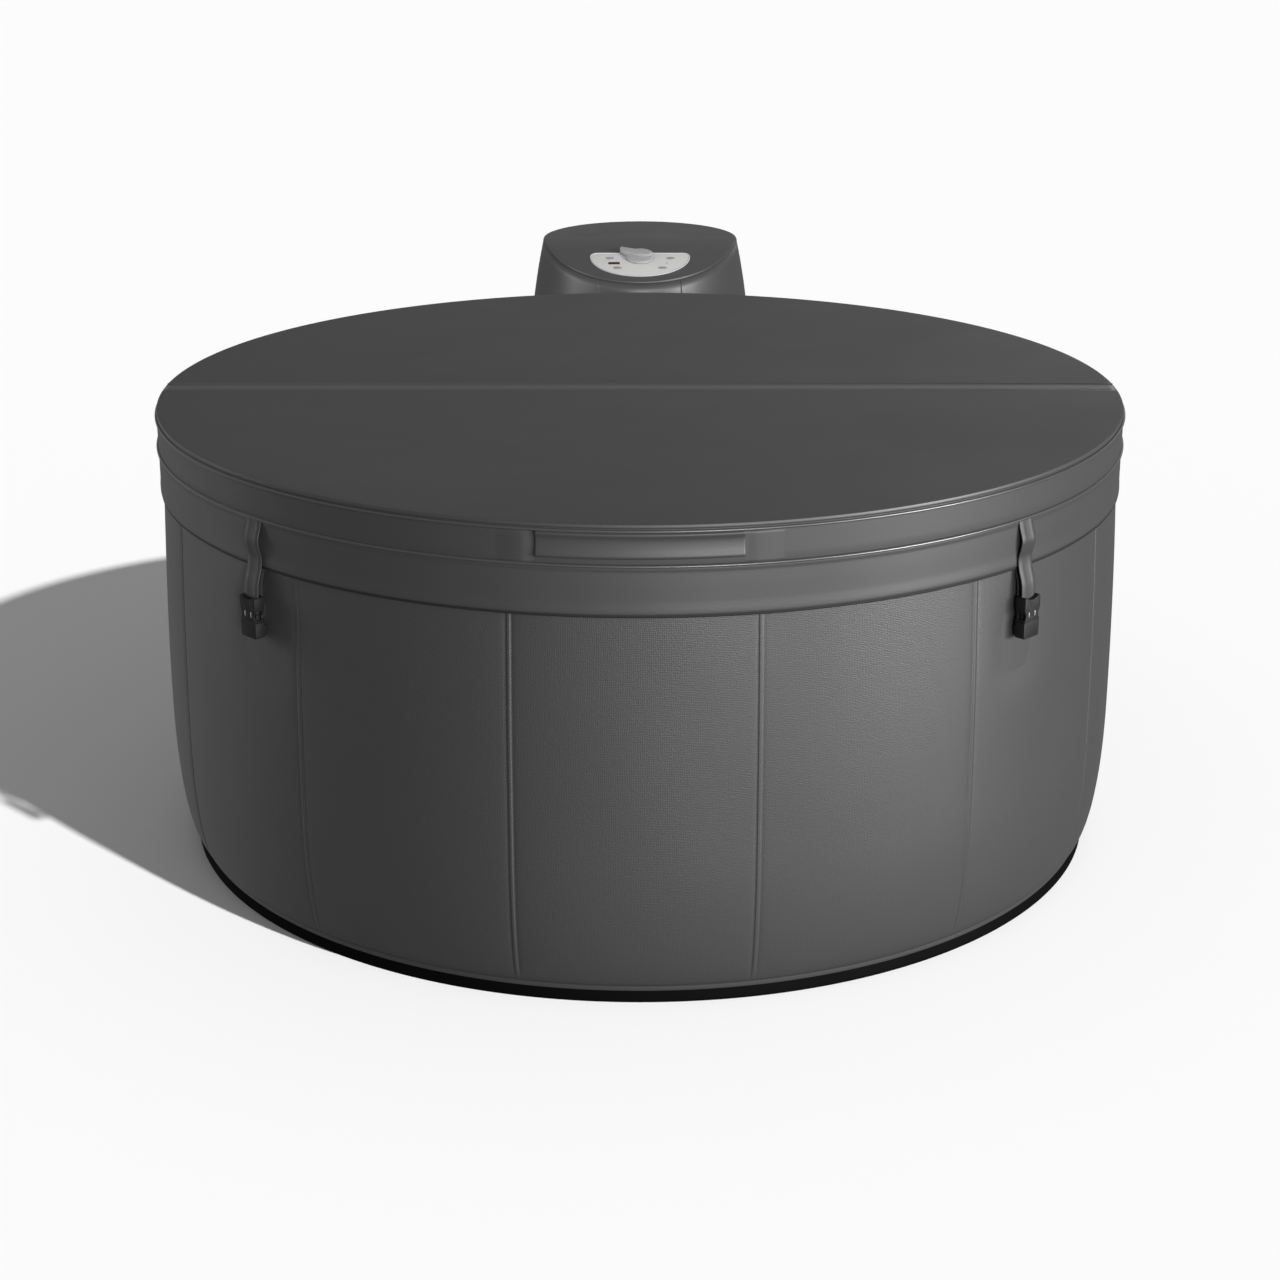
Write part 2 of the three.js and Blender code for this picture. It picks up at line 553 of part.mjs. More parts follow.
function makeControls() {
  const face = PANEL_FACE;
  let panel = panelSolid(0, face - PANEL_T + GAP, face);
  for (const place of Object.values(BUTTONS)) {
    const hole = oval(BUTTON.a + BUTTON.hole_gap, BUTTON.b + BUTTON.hole_gap, -20, 20);
    panel = panel.subtract(onPanel(hole.translate([...onPanelPlace(place), 0])));
  }
  const [a, b] = DISPLAY_HALF;
  const at = [...onPanelPlace(DISPLAY_AT), 0];
  const window = box(-a, a, -b, b, -1, 20).translate(at);
  add("control_panel", panel.subtract(onPanel(window)), PANEL);
  const pane = box(-a + 0.4, a - 0.4, -b + 0.4, b - 0.4, -0.7, face + 0.4).translate(at);
  add("display_window", onPanel(pane), DISPLAY_RED);
  for (const [name, place] of Object.entries(BUTTONS)) {
    const key = oval(BUTTON.a, BUTTON.b, -1.2, face + BUTTON.stand);
    add(`button_${name}`, onPanel(key.translate([...onPanelPlace(place), 0])), PANEL);
  }
  const base = turned([[0, 0], [DIAL.r, 0], [DIAL.r, 4], [DIAL.r - 2.5, 6], [0, 6.5]], 24);
  const lever = solid(extruded([[-38, 10], [-36, 24], [19, 5], [23, -4], [1, -9], [-20, -3]], 7.5)
    .translate(0, 0, 3));
  const dial = base.add(lever).translate([...onPanelPlace([DIAL.x, DIAL.y]), face + GAP]);
  add("dial", onPanel(dial), WHITE_PLASTIC);
}

// A solid drawn round the origin along X, moved to a place on the pump's axis.
function onPump(manifold, x) {
  return manifold.translate([x, PUMP_Y, PUMP_Z]);
}

function drumAlongX(r, width) {
  return solid(new THREE.CylinderGeometry(r, r, width, 20).rotateZ(Math.PI / 2));
}

function makePackInside() {
  add("pump_motor", onPump(drumAlongX(MOTOR_R, 180), 50), MOTOR);
  add("pump_wet_end", onPump(drumAlongX(VOLUTE.r, VOLUTE.width), VOLUTE.x), BLACK_PLASTIC);
  const sleeve = drumAlongX(SLEEVE.outer, SLEEVE.length)
    .subtract(drumAlongX(SLEEVE.inner, SLEEVE.length + 2));
  add("heat_exchanger", onPump(sleeve, SLEEVE.x + SLEEVE.length / 2), MOTOR);
  add("control_box", box(-100, 100, PACK_Y - 40, PACK_Y + 100, 470, 610), BOX);

  const hoseY = PIPE_END_Y + 1;
  const suction = tube([[SUCTION.x, hoseY, SUCTION.z], [SUCTION.x, hoseY + 54, SUCTION.z],
    [SUCTION.x - 10, 900, 140], [-120, 960, 125], [-128, 1010, PUMP_Z], [-122, PUMP_Y, PUMP_Z]], 20, 12);
  const clearance = onPump(drumAlongX(VOLUTE.r + GAP, VOLUTE.width + 2 * GAP), VOLUTE.x);
  add("suction_hose", suction.subtract(clearance), HOSE);
  const outlet = tube([[RETURN.x, hoseY, RETURN.z], [RETURN.x, hoseY + 54, RETURN.z],
    [95, 880, 355], [20, 930, 320], [-60, 990, 270], [VOLUTE.x, PUMP_Y, 226],
    [VOLUTE.x, PUMP_Y, 192]], 18, 14);
  add("return_hose", outlet, HOSE);
  const { x, z, r, from, to } = GLAND;
  add("cord_gland", backward(ring([[5, from], [r, from], [r, to], [9, to], [5, to - 4]], 12), x, z),
    BLACK_RUBBER);
}

makeTub();
makeJets();
makeFittings();
makeFilter();
makeCover();
makeHandle();
for (const [name, angle] of Object.entries(STRAP_ANGLES)) {
  makeStrap(name, angle);
  makeSocket(name, angle);
  makePlug(name, angle);
  makeWebbing(name, angle);
}
makePackShell();
makeControls();
makePackInside();

export default root;
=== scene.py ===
# Looks for the soft-sided hot tub: vinyl jacket, padded cover, straps and buckles, and the power pack.
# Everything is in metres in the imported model's frame: the tub's axis is x = y = 0 and the front is -Y.
import json
import math

import bmesh
import bpy
import numpy as np
from mathutils import Matrix, Vector, noise

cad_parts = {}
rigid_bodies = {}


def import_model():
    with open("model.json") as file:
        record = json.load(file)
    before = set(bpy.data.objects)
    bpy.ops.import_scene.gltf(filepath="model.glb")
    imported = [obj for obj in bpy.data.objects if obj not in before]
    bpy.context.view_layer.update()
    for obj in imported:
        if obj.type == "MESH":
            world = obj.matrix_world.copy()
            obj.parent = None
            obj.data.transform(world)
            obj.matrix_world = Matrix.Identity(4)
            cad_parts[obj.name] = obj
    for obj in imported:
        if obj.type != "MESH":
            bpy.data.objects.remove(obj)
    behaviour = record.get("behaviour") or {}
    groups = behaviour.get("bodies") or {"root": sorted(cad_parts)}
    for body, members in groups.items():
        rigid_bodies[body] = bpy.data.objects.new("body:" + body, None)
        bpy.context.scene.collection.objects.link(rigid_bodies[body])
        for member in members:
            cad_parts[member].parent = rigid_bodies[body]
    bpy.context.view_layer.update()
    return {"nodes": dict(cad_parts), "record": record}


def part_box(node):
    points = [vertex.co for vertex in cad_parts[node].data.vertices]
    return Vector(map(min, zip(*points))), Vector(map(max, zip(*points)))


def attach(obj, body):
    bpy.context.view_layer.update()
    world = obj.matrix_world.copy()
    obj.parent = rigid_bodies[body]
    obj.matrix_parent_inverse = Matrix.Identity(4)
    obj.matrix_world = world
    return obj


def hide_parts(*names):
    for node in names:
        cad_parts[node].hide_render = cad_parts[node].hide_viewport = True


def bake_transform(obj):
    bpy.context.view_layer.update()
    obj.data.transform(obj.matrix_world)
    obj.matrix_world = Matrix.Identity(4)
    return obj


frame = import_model()

MM = 0.001
TAU = 2 * math.pi
FRONT = -math.pi / 2    # the front's angle from +X
UP = Vector((0, 0, 1))

# ---- places that come from the frame ----
_, BAND_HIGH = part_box("base_band")
_, JACKET_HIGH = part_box("outer_jacket")
SKIRT_LOW, SKIRT_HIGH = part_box("cover_skirt_rear")
_, SHELL_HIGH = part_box("cover_shell_rear")
LINER_LOW, LINER_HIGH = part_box("liner")
HANDLE_LOW, HANDLE_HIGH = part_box("cover_handle")
SOCKET_LOW, SOCKET_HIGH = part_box("buckle_socket_front_right")
PLUG_LOW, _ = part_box("buckle_plug_front_right")
_, CAP_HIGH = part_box("pack_top_cap")
TRAY_LOW, TRAY_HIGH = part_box("pack_base")

BAND_R, BAND_TOP = BAND_HIGH.x, BAND_HIGH.z
BELLY_R = JACKET_HIGH.x
RIM_Z = JACKET_HIGH.z
SKIRT_R = SKIRT_HIGH.x
SKIRT_BOTTOM, SKIRT_TOP = SKIRT_LOW.z, SKIRT_HIGH.z
COVER_TOP = SHELL_HIGH.z
NECK_R = BELLY_R - 6 * MM
FULL_R = BELLY_R + 3.4 * MM    # the vinyl's slack stands a little proud of the foam
PACK_Y = (TRAY_LOW.y + TRAY_HIGH.y) / 2
PACK_TOP = CAP_HIGH.z

PANELS = 14
PANEL_TURN = math.radians(-0.55)    # the seams are not quite symmetric about the front
CORNER_H = 196 * MM    # height of the jacket's rounded lower corner
RIM_ROUND = 13 * MM
RIM_IN = 690 * MM    # where the jacket ends under the rim bead
DRAIN = (118, 0.075)    # the drain's angle from +X and its height
LOCKS = {"front_left": 225, "front_right": 315, "rear_right": 45, "rear_left": 135}

CAMERA_LENS = 67.18
CAMERA_AT = (0, -3.6805, 1.5821)
CAMERA_TILT = math.radians(70.46)

# Soft lights: name, azimuth to the right of the front, elevation, spread and strength, all angles in degrees.
# The first set falls on everything but the pack, the second on the pack alone.
TUB_LIGHTS = [("key", 67, 4, 26, 6.9), ("key_middle", 50, 4, 14, 1.9), ("key_front", 17, 4, 14, 3.1),
              ("rim", -123, 2, 38, 16), ("back", 160, 22, 20, 0.36)]
PACK_LIGHTS = [("pack_key", 46, 9, 16, 3.4), ("pack_front", 6, 22, 24, 1.7), ("pack_side", -72, 14, 34, 1.15),
               ("pack_back", 150, 30, 40, 0.3)]
MATT_LIGHT = "rim"    # leaves no glare on the vinyl
PACK_NAMES = ("pack_", "panel_", "button_", "key_", "display_", "status_", "dial_", "gland")


# ---- camera and stage ----
def add_object(name, data):
    made = bpy.data.objects.new(name, data)
    bpy.context.scene.collection.objects.link(made)
    return made


def make_camera():
    """The main view: from the front and above."""
    data = bpy.data.cameras.new("camera")
    camera = add_object("camera", data)
    data.sensor_width = 36
    data.lens = CAMERA_LENS
    data.clip_end = 400
    camera.location = CAMERA_AT
    camera.rotation_euler = (CAMERA_TILT, 0, 0)
    bpy.context.scene.camera = camera


def make_stage():
    reach = 60
    mesh = bpy.data.meshes.new("floor")
    mesh.from_pydata([(x, y, 0) for x, y in rectangle(-reach, reach, -reach, reach)], [], [(0, 1, 2, 3)])
    floor = add_object("floor", mesh)
    look = bpy.data.materials.new("floor")
    look.use_nodes = True
    shader = look.node_tree.nodes["Principled BSDF"]
    shader.inputs["Base Color"].default_value = (0.87, 0.87, 0.87, 1)
    shader.inputs["Roughness"].default_value = 1
    shader.inputs["Specular IOR Level"].default_value = 0
    mesh.materials.append(look)
    # the floor takes the shadow and throws no light back
    floor.visible_diffuse = floor.visible_glossy = False

    world = bpy.data.worlds.new("studio")
    bpy.context.scene.world = world
    world.use_nodes = True
    background = world.node_tree.nodes["Background"]
    background.inputs["Color"].default_value = (1, 1, 1, 1)
    links, nodes = world.node_tree.links, world.node_tree.nodes
    where = nodes.new("ShaderNodeTexCoord")
    split = nodes.new("ShaderNodeSeparateXYZ")
    level = nodes.new("ShaderNodeMapRange")
    links.new(where.outputs["Generated"], split.inputs[0])
    links.new(split.outputs[2], level.inputs["Value"])
    for socket, value in (("From Min", -0.25), ("From Max", 0.05), ("To Min", 0.15), ("To Max", 0.278)):
        level.inputs[socket].default_value = value
    links.new(level.outputs[0], background.inputs["Strength"])

    floor_only = bpy.data.collections.new("floor_only")
    floor_only.objects.link(floor)
    pack_only = bpy.data.collections.new("pack_only")
    tub_only = bpy.data.collections.new("tub_only")
    tub_only.objects.link(floor)

    def sun(name, azimuth, elevation, spread, strength, receivers):
        data = bpy.data.lights.new(name, "SUN")
        data.energy = strength
        data.angle = math.radians(spread)
        lamp = add_object(name, data)
        a, e = math.radians(azimuth), math.radians(elevation)
        aim = Vector((-math.sin(a) * math.cos(e), math.cos(a) * math.cos(e), -math.sin(e)))
        lamp.rotation_euler = aim.to_track_quat("-Z", "Y").to_euler()
        lamp.light_linking.receiver_collection = receivers
        lamp.visible_glossy = name != MATT_LIGHT

    sun("floor_sun", 45, 36.5, 1.6, 4.45, floor_only)
    for lights, receivers in ((TUB_LIGHTS, tub_only), (PACK_LIGHTS, pack_only)):
        for name, azimuth, elevation, spread, strength in lights:
            sun(name, azimuth, elevation, spread, strength, receivers)
    bpy.context.scene.view_settings.view_transform = "Standard"


# ---- mesh helpers ----
def in_mm(points, right=0.0, up=0.0):
    """Points given in millimetres from a place given in metres."""
    return [(right + x * MM, up + y * MM) for x, y in points]


def rectangle(left, right, low, high):
    return [(left, low), (right, low), (right, high), (left, high)]


def spoke(angle, r=1.0, z=0.0):
    """The point at that angle from +X, radius and height."""
    return Vector((r * math.cos(angle), r * math.sin(angle), z))


def new_object(name, vertices, faces, smooth=True):
    """A mesh object with coinciding points joined and its faces pointing out."""
    mesh = bpy.data.meshes.new(name)
    mesh.from_pydata([tuple(v) for v in vertices], [], faces)
    work = bmesh.new()
    work.from_mesh(mesh)
    bmesh.ops.remove_doubles(work, verts=work.verts, dist=1e-6)
    bmesh.ops.recalc_face_normals(work, faces=work.faces)
    work.to_mesh(mesh)
    work.free()
    if smooth:
        mesh.polygons.foreach_set("use_smooth", [True] * len(mesh.polygons))
    mesh.update()
    return add_object(name, mesh)


def grid_faces(rows, columns, wrap_rows, wrap_columns):
    faces = []
    for i in range(rows if wrap_rows else rows - 1):
        for j in range(columns if wrap_columns else columns - 1):
            a, b = i * columns + j, i * columns + (j + 1) % columns
            k = (i + 1) % rows
            faces.append((a, b, k * columns + (j + 1) % columns, k * columns + j))
    return faces


def end_caps(rows, columns):
    """The first and the last row of a grid as faces."""
    return [tuple(range(columns)), tuple((rows - 1) * columns + i for i in reversed(range(columns)))]


def turn(name, profile, angles=None, whole=False, segments=160, closed=False, shape=None, axis=(0, 0)):
    """A profile of (r, z) points turned about a vertical axis, all the way round where no angles are given.

    closed joins the profile's ends, whole joins the last angle to the first, and shape moves the points."""
    if angles is None:
        whole = True
        angles = [TAU * i / segments for i in range(segments)]
    points = []
    for a in angles:
        for k, (r, z) in enumerate(profile):
            rr, zz = shape(r, z, a, k) if shape else (r, z)
            points.append((axis[0] + rr * math.cos(a), axis[1] + rr * math.sin(a), zz))
    faces = grid_faces(len(angles), len(profile), whole, closed)
    if not whole:
        faces += end_caps(len(angles), len(profile))
    return new_object(name, points, faces)


def sweep(name, section, stations):
    """A closed section of (u, v) points carried through stations of (origin, u axis, v axis)."""
    points = [origin + u * u_axis + v * v_axis for origin, u_axis, v_axis in stations for u, v in section]
    faces = grid_faces(len(stations), len(section), False, True) + end_caps(len(stations), len(section))
    return new_object(name, points, faces)


def prism(name, outline, low, high, bevel=0.0, segments=3):
    """An outline of (x, y) points pulled from low to high, with rounded edges."""
    n = len(outline)
    points = [(x, y, low) for x, y in outline] + [(x, y, high) for x, y in outline]
    faces = [tuple(range(n)), tuple(range(2 * n - 1, n - 1, -1))]
    faces += [(i, (i + 1) % n, n + (i + 1) % n, n + i) for i in range(n)]
    made = new_object(name, points, faces, smooth=False)
    if bevel:
        round_edges(made, bevel, segments)
    return made


def round_edges(piece, width, segments=3, angle=30):
    bevel = piece.modifiers.new("rounding", "BEVEL")
    bevel.width = width
    bevel.segments = segments
    bevel.limit_method = "ANGLE"
    bevel.angle_limit = math.radians(angle)
    piece.data.polygons.foreach_set("use_smooth", [True] * len(piece.data.polygons))


def smooth_line(points, per_span=8):
    """A Catmull-Rom line through the points."""
    p = [np.array(q, float) for q in points]
    p = [2 * p[0] - p[1], *p, 2 * p[-1] - p[-2]]
    out = []
    for i in range(1, len(p) - 2):
        for s in range(per_span):
            t = s / per_span
            out.append(0.5 * (2 * p[i] + (p[i + 1] - p[i - 1]) * t
                       + (2 * p[i - 1] - 5 * p[i] + 4 * p[i + 1] - p[i + 2]) * t * t
                       + (3 * p[i] - p[i - 1] - 3 * p[i + 1] + p[i + 2]) * t ** 3))
    out.append(p[-2])
    return out


def arc(cx, cy, rx, ry, start, end, steps):
    angles = [math.radians(start + (end - start) * i / steps) for i in range(steps + 1)]
    return [(cx + rx * math.cos(a), cy + ry * math.sin(a)) for a in angles]


def circle(radius, sides):
    return [(radius * math.cos(TAU * i / sides), radius * math.sin(TAU * i / sides)) for i in range(sides)]


def tube(name, points, radius, sides=20, per_span=8):
    line = smooth_line(points, per_span)
    stations = []
    for i, p in enumerate(line):
        ahead = line[min(i + 1, len(line) - 1)] - line[max(i - 1, 0)]
        tangent = Vector(ahead).normalized()
        side = tangent.cross(UP)
        side = side.normalized() if side.length > 1e-3 else Vector((1, 0, 0))
        stations.append((Vector(p), side, tangent.cross(side)))
    return sweep(name, circle(radius, sides), stations)


def radial_frame(degrees, z):
    """Local +X is tangent, local +Y is up and local +Z is outward at that angle."""
    out = spoke(math.radians(degrees))
    place = Matrix.Identity(4)
    place.col[0][:3] = (-out.y, out.x, 0)
    place.col[1][:3] = (0, 0, 1)
    place.col[2][:3] = out
    place.col[3][:3] = (0, 0, z)
    return place


def finish_piece(piece, look, body, replaces=()):
    """Gives a piece its look, its body and the nodes it replaces; its one material slot holds the look."""
    piece.data.materials.clear()
    piece.data.materials.append(LOOKS[look])
    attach(piece, body)
    if replaces:
        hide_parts(*replaces)


# ---- materials ----
class Nodes:
    """Short names for building a node tree."""

    def __init__(self, name):
        self.look = bpy.data.materials.new(name)
        self.look.use_nodes = True
        self.tree = self.look.node_tree
        self.shader = self.tree.nodes["Principled BSDF"]
        self.coordinates = self.add("ShaderNodeTexCoord")
        self.place = self.coordinates.outputs["Object"]

    def add(self, kind, **settings):
        node = self.tree.nodes.new(kind)
        for key, value in settings.items():
            if key in node.inputs:
                node.inputs[key].default_value = value
            else:
                setattr(node, key, value)
        return node

    def link(self, out, into):
        self.tree.links.new(out, into)

    def split(self, vector):
        node = self.add("ShaderNodeSeparateXYZ")
        self.link(vector, node.inputs[0])
        return node.outputs

    def noise(self, scale, detail=2.0, roughness=0.5):
        node = self.add("ShaderNodeTexNoise", Scale=scale, Detail=detail, Roughness=roughness)
        self.link(self.place, node.inputs["Vector"])
        return node.outputs["Fac"]

    def cells(self, scale):
        node = self.add("ShaderNodeTexVoronoi", Scale=scale)
        self.link(self.place, node.inputs["Vector"])
        return node.outputs["Distance"]

    def feed(self, node, values):
        for socket, value in zip(node.inputs, values):
            if isinstance(value, (int, float)):
                socket.default_value = value
            else:
                self.link(value, socket)
        return node.outputs[0]

    def math(self, operation, a, b=0.0):
        return self.feed(self.add("ShaderNodeMath", operation=operation), (a, b))

    def plus(self, a, b):
        return self.math("ADD", a, b)

    def times(self, a, b):
        return self.math("MULTIPLY", a, b)

    def span(self, value, low, high, to_low, to_high):
        return self.feed(self.add("ShaderNodeMapRange"), (value, low, high, to_low, to_high))

    def bump(self, height, strength, distance):
        node = self.add("ShaderNodeBump", Strength=strength, Distance=distance)
        self.link(height, node.inputs["Height"])
        self.link(node.outputs["Normal"], self.shader.inputs["Normal"])

    def colour(self, factor, colour, low, high):
        """The base colour drifts between two shades of one colour."""
        node = self.add("ShaderNodeMix", data_type="RGBA")
        self.link(factor, node.inputs[0])
        for socket, shade in ((6, low), (7, high)):
            node.inputs[socket].default_value = (*[min(1.0, c * shade) for c in colour], 1)
        self.link(node.outputs[2], self.shader.inputs["Base Color"])

    def set(self, **values):
        for key, value in values.items():
            self.shader.inputs[key.replace("_", " ")].default_value = value


def plain_surface(name, colour, roughness, grain, depth, vary, metal=0.0, specular=0.5):
    """Moulded plastic, rubber or painted metal: fine grain, mottled colour, uneven gloss."""
    n = Nodes(name)
    broad = n.noise(9, 3)
    n.colour(broad, colour, 1 - vary, 1 + vary)
    n.link(n.span(broad, 0.3, 0.7, roughness - 0.05, roughness + 0.05), n.shader.inputs["Roughness"])
    n.bump(n.noise(grain, 3, 0.6), 0.5, depth)
    n.set(Metallic=metal, Specular_IOR_Level=specular)
    return n.look


def vinyl(name, colour, roughness, pebble, depth, vary, specular=0.4, weave=0.0, dull_flat=0.0):
    """Coated vinyl: leather pebble, broad colour drift and, on the jacket, the backing cloth's weave.

    The cover's flat faces, where the grain is pressed deeper, are rougher than its sides by dull_flat."""
    n = Nodes(name)
    broad = n.noise(3.5, 4, 0.55)
    pores = n.cells(pebble)
    fine = n.noise(pebble * 2.2, 2)
    tone = n.plus(n.times(broad, 0.7), n.times(fine, 0.3))
    height = n.plus(n.times(pores, 0.8), n.times(fine, 0.35))
    if weave:
        x, y, z = n.split(n.place)
        around = n.times(n.math("ARCTAN2", y, x), 0.75)
        uneven = n.times(n.noise(75, 3), 1.6 * weave)
        slant = n.plus(n.plus(around, z), uneven)
        turns = TAU / weave
        warp = n.math("SINE", n.times(slant, turns))
        weft = n.math("SINE", n.times(n.math("SUBTRACT", around, z), turns))
        cloth = n.times(warp, weft)
        height = n.plus(height, n.times(cloth, 0.55))
        tone = n.plus(tone, n.times(cloth, 0.16))
    n.colour(tone, colour, 1 - vary, 1 + vary)
    rough = n.span(tone, 0.2, 0.8, roughness + 0.06, roughness - 0.06)
    if dull_flat:
        facing = n.math("ABSOLUTE", n.split(n.coordinates.outputs["Normal"])[2])
        rough = n.plus(rough, n.span(facing, 0.8, 0.99, 0.0, dull_flat))
    n.link(rough, n.shader.inputs["Roughness"])
    n.bump(height, 0.6, depth)
    n.set(Specular_IOR_Level=specular)
    return n.look


RIB_PITCH = 1.76 * MM


def woven(name, colour):
    """Strap webbing: ribs across the strap's length."""
    n = Nodes(name)
    rib = n.math("SINE", n.times(n.split(n.place)[2], TAU / RIB_PITCH))
    thread = n.noise(1400, 2)
    n.colour(thread, colour, 0.7, 1.5)
    n.set(Roughness=0.85)
    n.bump(n.plus(n.times(rib, 0.5), thread), 0.7, 0.0003)
    return n.look


def foam_look(name, colour):
    n = Nodes(name)
    n.colour(n.noise(8, 3), colour, 0.85, 1.05)
    n.set(Roughness=0.95)
    n.bump(n.cells(700), 0.8, 0.0006)
    return n.look


def lens_look(name):
    n = Nodes(name)
    n.set(Base_Color=(0.85, 0.92, 0.95, 1), Roughness=0.08, Transmission_Weight=0.6)
    n.bump(n.noise(90, 2), 0.3, 0.0006)
    return n.look


# colour, roughness, pebble scale, bump depth, colour drift, specular level, weave's pitch, flat faces' extra
# roughness
VINYLS = {
    "jacket_vinyl": ((0.030, 0.030, 0.0303), 0.44, 330, 0.00018, 0.12, 0.40, 0.0048),
    "cover_vinyl": ((0.030, 0.030, 0.0303), 0.46, 520, 0.00010, 0.05, 0.36, 0.0, 0.24),
    "trim_vinyl": ((0.032, 0.032, 0.0323), 0.33, 520, 0.00008, 0.06, 0.75, 0.0, 0.3),
    # near-black vinyl for the strip under the skirt's hem: painted shadow for the dark gap line between hem
    # and jacket
    "binding": ((0.013, 0.013, 0.0131), 0.6, 520, 0.00008, 0.06, 0.12),
    "strap_vinyl": ((0.0275, 0.0275, 0.0278), 0.48, 500, 0.0001, 0.10, 0.3),
    "liner_vinyl": ((0.27, 0.30, 0.32), 0.45, 420, 0.0002, 0.08),
}
# colour, roughness, grain scale, bump depth, colour drift, metal, specular level
PLAIN = {
    "base_rubber": ((0.0012, 0.0012, 0.0012), 0.7, 260, 0.0003, 0.2, 0.0, 0.03),
    "black_plastic": ((0.0085, 0.0085, 0.009), 0.55, 420, 0.00008, 0.15, 0.0, 0.2),
    "pack_plastic": ((0.041, 0.041, 0.0413), 0.45, 520, 0.00012, 0.05, 0.0, 0.6),
    "panel_plastic": ((0.48, 0.476, 0.472), 0.33, 500, 0.00004, 0.04),
    "dial_plastic": ((0.27, 0.27, 0.272), 0.34, 400, 0.00004, 0.04),
    "key_plastic": ((0.22, 0.22, 0.23), 0.4, 400, 0.00004, 0.04),
    "white_plastic": ((0.42, 0.42, 0.43), 0.30, 400, 0.00004, 0.04),
    "display_red": ((0.045, 0.006, 0.008), 0.12, 300, 0.00001, 0.1),
    "hose_vinyl": ((0.16, 0.17, 0.18), 0.45, 240, 0.0002, 0.1),
    "motor_metal": ((0.10, 0.11, 0.13), 0.4, 300, 0.0001, 0.1, 0.7),
    "exchanger_metal": ((0.5, 0.51, 0.52), 0.35, 200, 0.0001, 0.1, 0.9),
    "box_plastic": ((0.3, 0.31, 0.32), 0.6, 300, 0.0002, 0.08),
    "gland_rubber": ((0.02, 0.02, 0.02), 0.7, 260, 0.0002, 0.15),
}
LOOKS = {
    **{name: vinyl(name, *settings) for name, settings in VINYLS.items()},
    **{name: plain_surface(name, *settings) for name, settings in PLAIN.items()},
    "webbing": woven("webbing", (0.010, 0.010, 0.010)),
    "foam": foam_look("foam", (0.72, 0.69, 0.58)),
    "filter_media": foam_look("filter_media", (0.75, 0.78, 0.80)),
    "clear_lens": lens_look("clear_lens"),
}


def dress_frame():
    """Every CAD node that stays visible gets its slot's look."""
    slots = {s["node"]: s["material_slot"] for s in frame["record"]["subparts"]}
    for name, node in frame["nodes"].items():
        node.data.materials.clear()
        node.data.materials.append(LOOKS[slots[name]])


# ---- tub ----
def wall_profile():
    points = in_mm([(0.3, -8), (0.9, -7), (0.8, -2)], BAND_R, BAND_TOP)
    steps = 22
    for i in range(steps + 1):
        a = (1 - i / steps) * math.pi / 2
        r = BAND_R + 1 * MM + (FULL_R - BAND_R - 1 * MM) * math.cos(a)
        points.append((r, BAND_TOP + 0.4 * MM + CORNER_H * (1 - math.sin(a))))
    belly_z = BAND_TOP + CORNER_H
    for i in range(1, 19):
        t = i / 18
        r = FULL_R + (NECK_R + 1 * MM - FULL_R) * t ** 1.9
        points.append((r, belly_z + (SKIRT_BOTTOM - belly_z) * t))
    points.append((NECK_R, RIM_Z - 2 * RIM_ROUND))
    return points + arc(NECK_R - RIM_ROUND, RIM_Z - RIM_ROUND, RIM_ROUND, RIM_ROUND, 0, 90, 8)


def seam_distance(angle):
    """Arc length to the nearest panel seam, at the belly."""
    pitch = TAU / PANELS
    away = (angle - FRONT - PANEL_TURN - pitch / 2) % pitch
    return min(away, pitch - away) * BELLY_R


def jacket_surface(r, z, angle):
    """Panels stand a little full between their welded seams, the weld itself is a fine raised line, and the
    wall gives a little behind each buckle."""
    d = seam_distance(angle)
    full = 1.4 * MM * (1 - math.exp(-d / 0.022)) - 1.2 * MM
    weld = 0.9 * MM * math.exp(-((d / 0.0024) ** 4)) - 0.5 * MM * math.exp(-(((d - 0.0046) / 0.0016) ** 2))
    fade = min(1.0, max(0.0, (z - BAND_TOP) / 0.03)) * min(1.0, max(0.0, (RIM_Z - 0.02 - z) / 0.04))
    drift = 0.7 * MM * noise.noise(Vector((6 * math.cos(angle), 6 * math.sin(angle), 5 * z)))
    dent = 0.0
    for lock in LOCKS.values():
        across = (angle - math.radians(lock) + math.pi) % TAU - math.pi
        dent += 2.9 * MM * math.exp(-(across * BELLY_R / 0.045) ** 4 - ((z - 0.465) / 0.06) ** 4)
    return r + (full + weld + drift) * fade - dent


def make_jacket():
    outer = wall_profile()
    inner = [(r - 1.6 * MM, z) for r, z in reversed(outer)]
    profile = outer + [(RIM_IN, RIM_Z), (RIM_IN, RIM_Z - 1.6 * MM)] + inner
    # close together at a seam and wide apart in the middle of a panel
    half = [o * MM / BELLY_R for o in (0, 1, 1.8, 2.4, 3, 3.8, 4.8, 6.2, 9, 14, 24, 42, 62, 85, 110, 138)]
    pitch = TAU / PANELS
    angles = []
    for panel in range(PANELS):
        seam = FRONT + PANEL_TURN + pitch / 2 + panel * pitch
        angles += [seam + h for h in half] + [seam + pitch / 2]
        angles += [seam + pitch - h for h in reversed(half[1:])]

    def shape(r, z, angle, index):
        return (jacket_surface(r, z, angle) if index < len(outer) else r), z

    piece = turn("jacket", profile, angles, whole=True, closed=True, shape=shape)
    finish_piece(piece, "jacket_vinyl", "tub", ["outer_jacket"])


def make_base():
    profile = [(0, 0)] + in_mm([(1.6, 0), (2.2, 0.6), (1.8, 4)], BAND_R)
    profile += in_mm([(0, -9.5), (-1.6, -7.5), (-2, 0), (-18, 0)], BAND_R, BAND_TOP)
    profile += [(BAND_R - 18 * MM, 6 * MM), (0, 6 * MM)]
    piece = turn("base_band_moulded", profile, segments=240)
    finish_piece(piece, "base_rubber", "tub", ["base_band"])


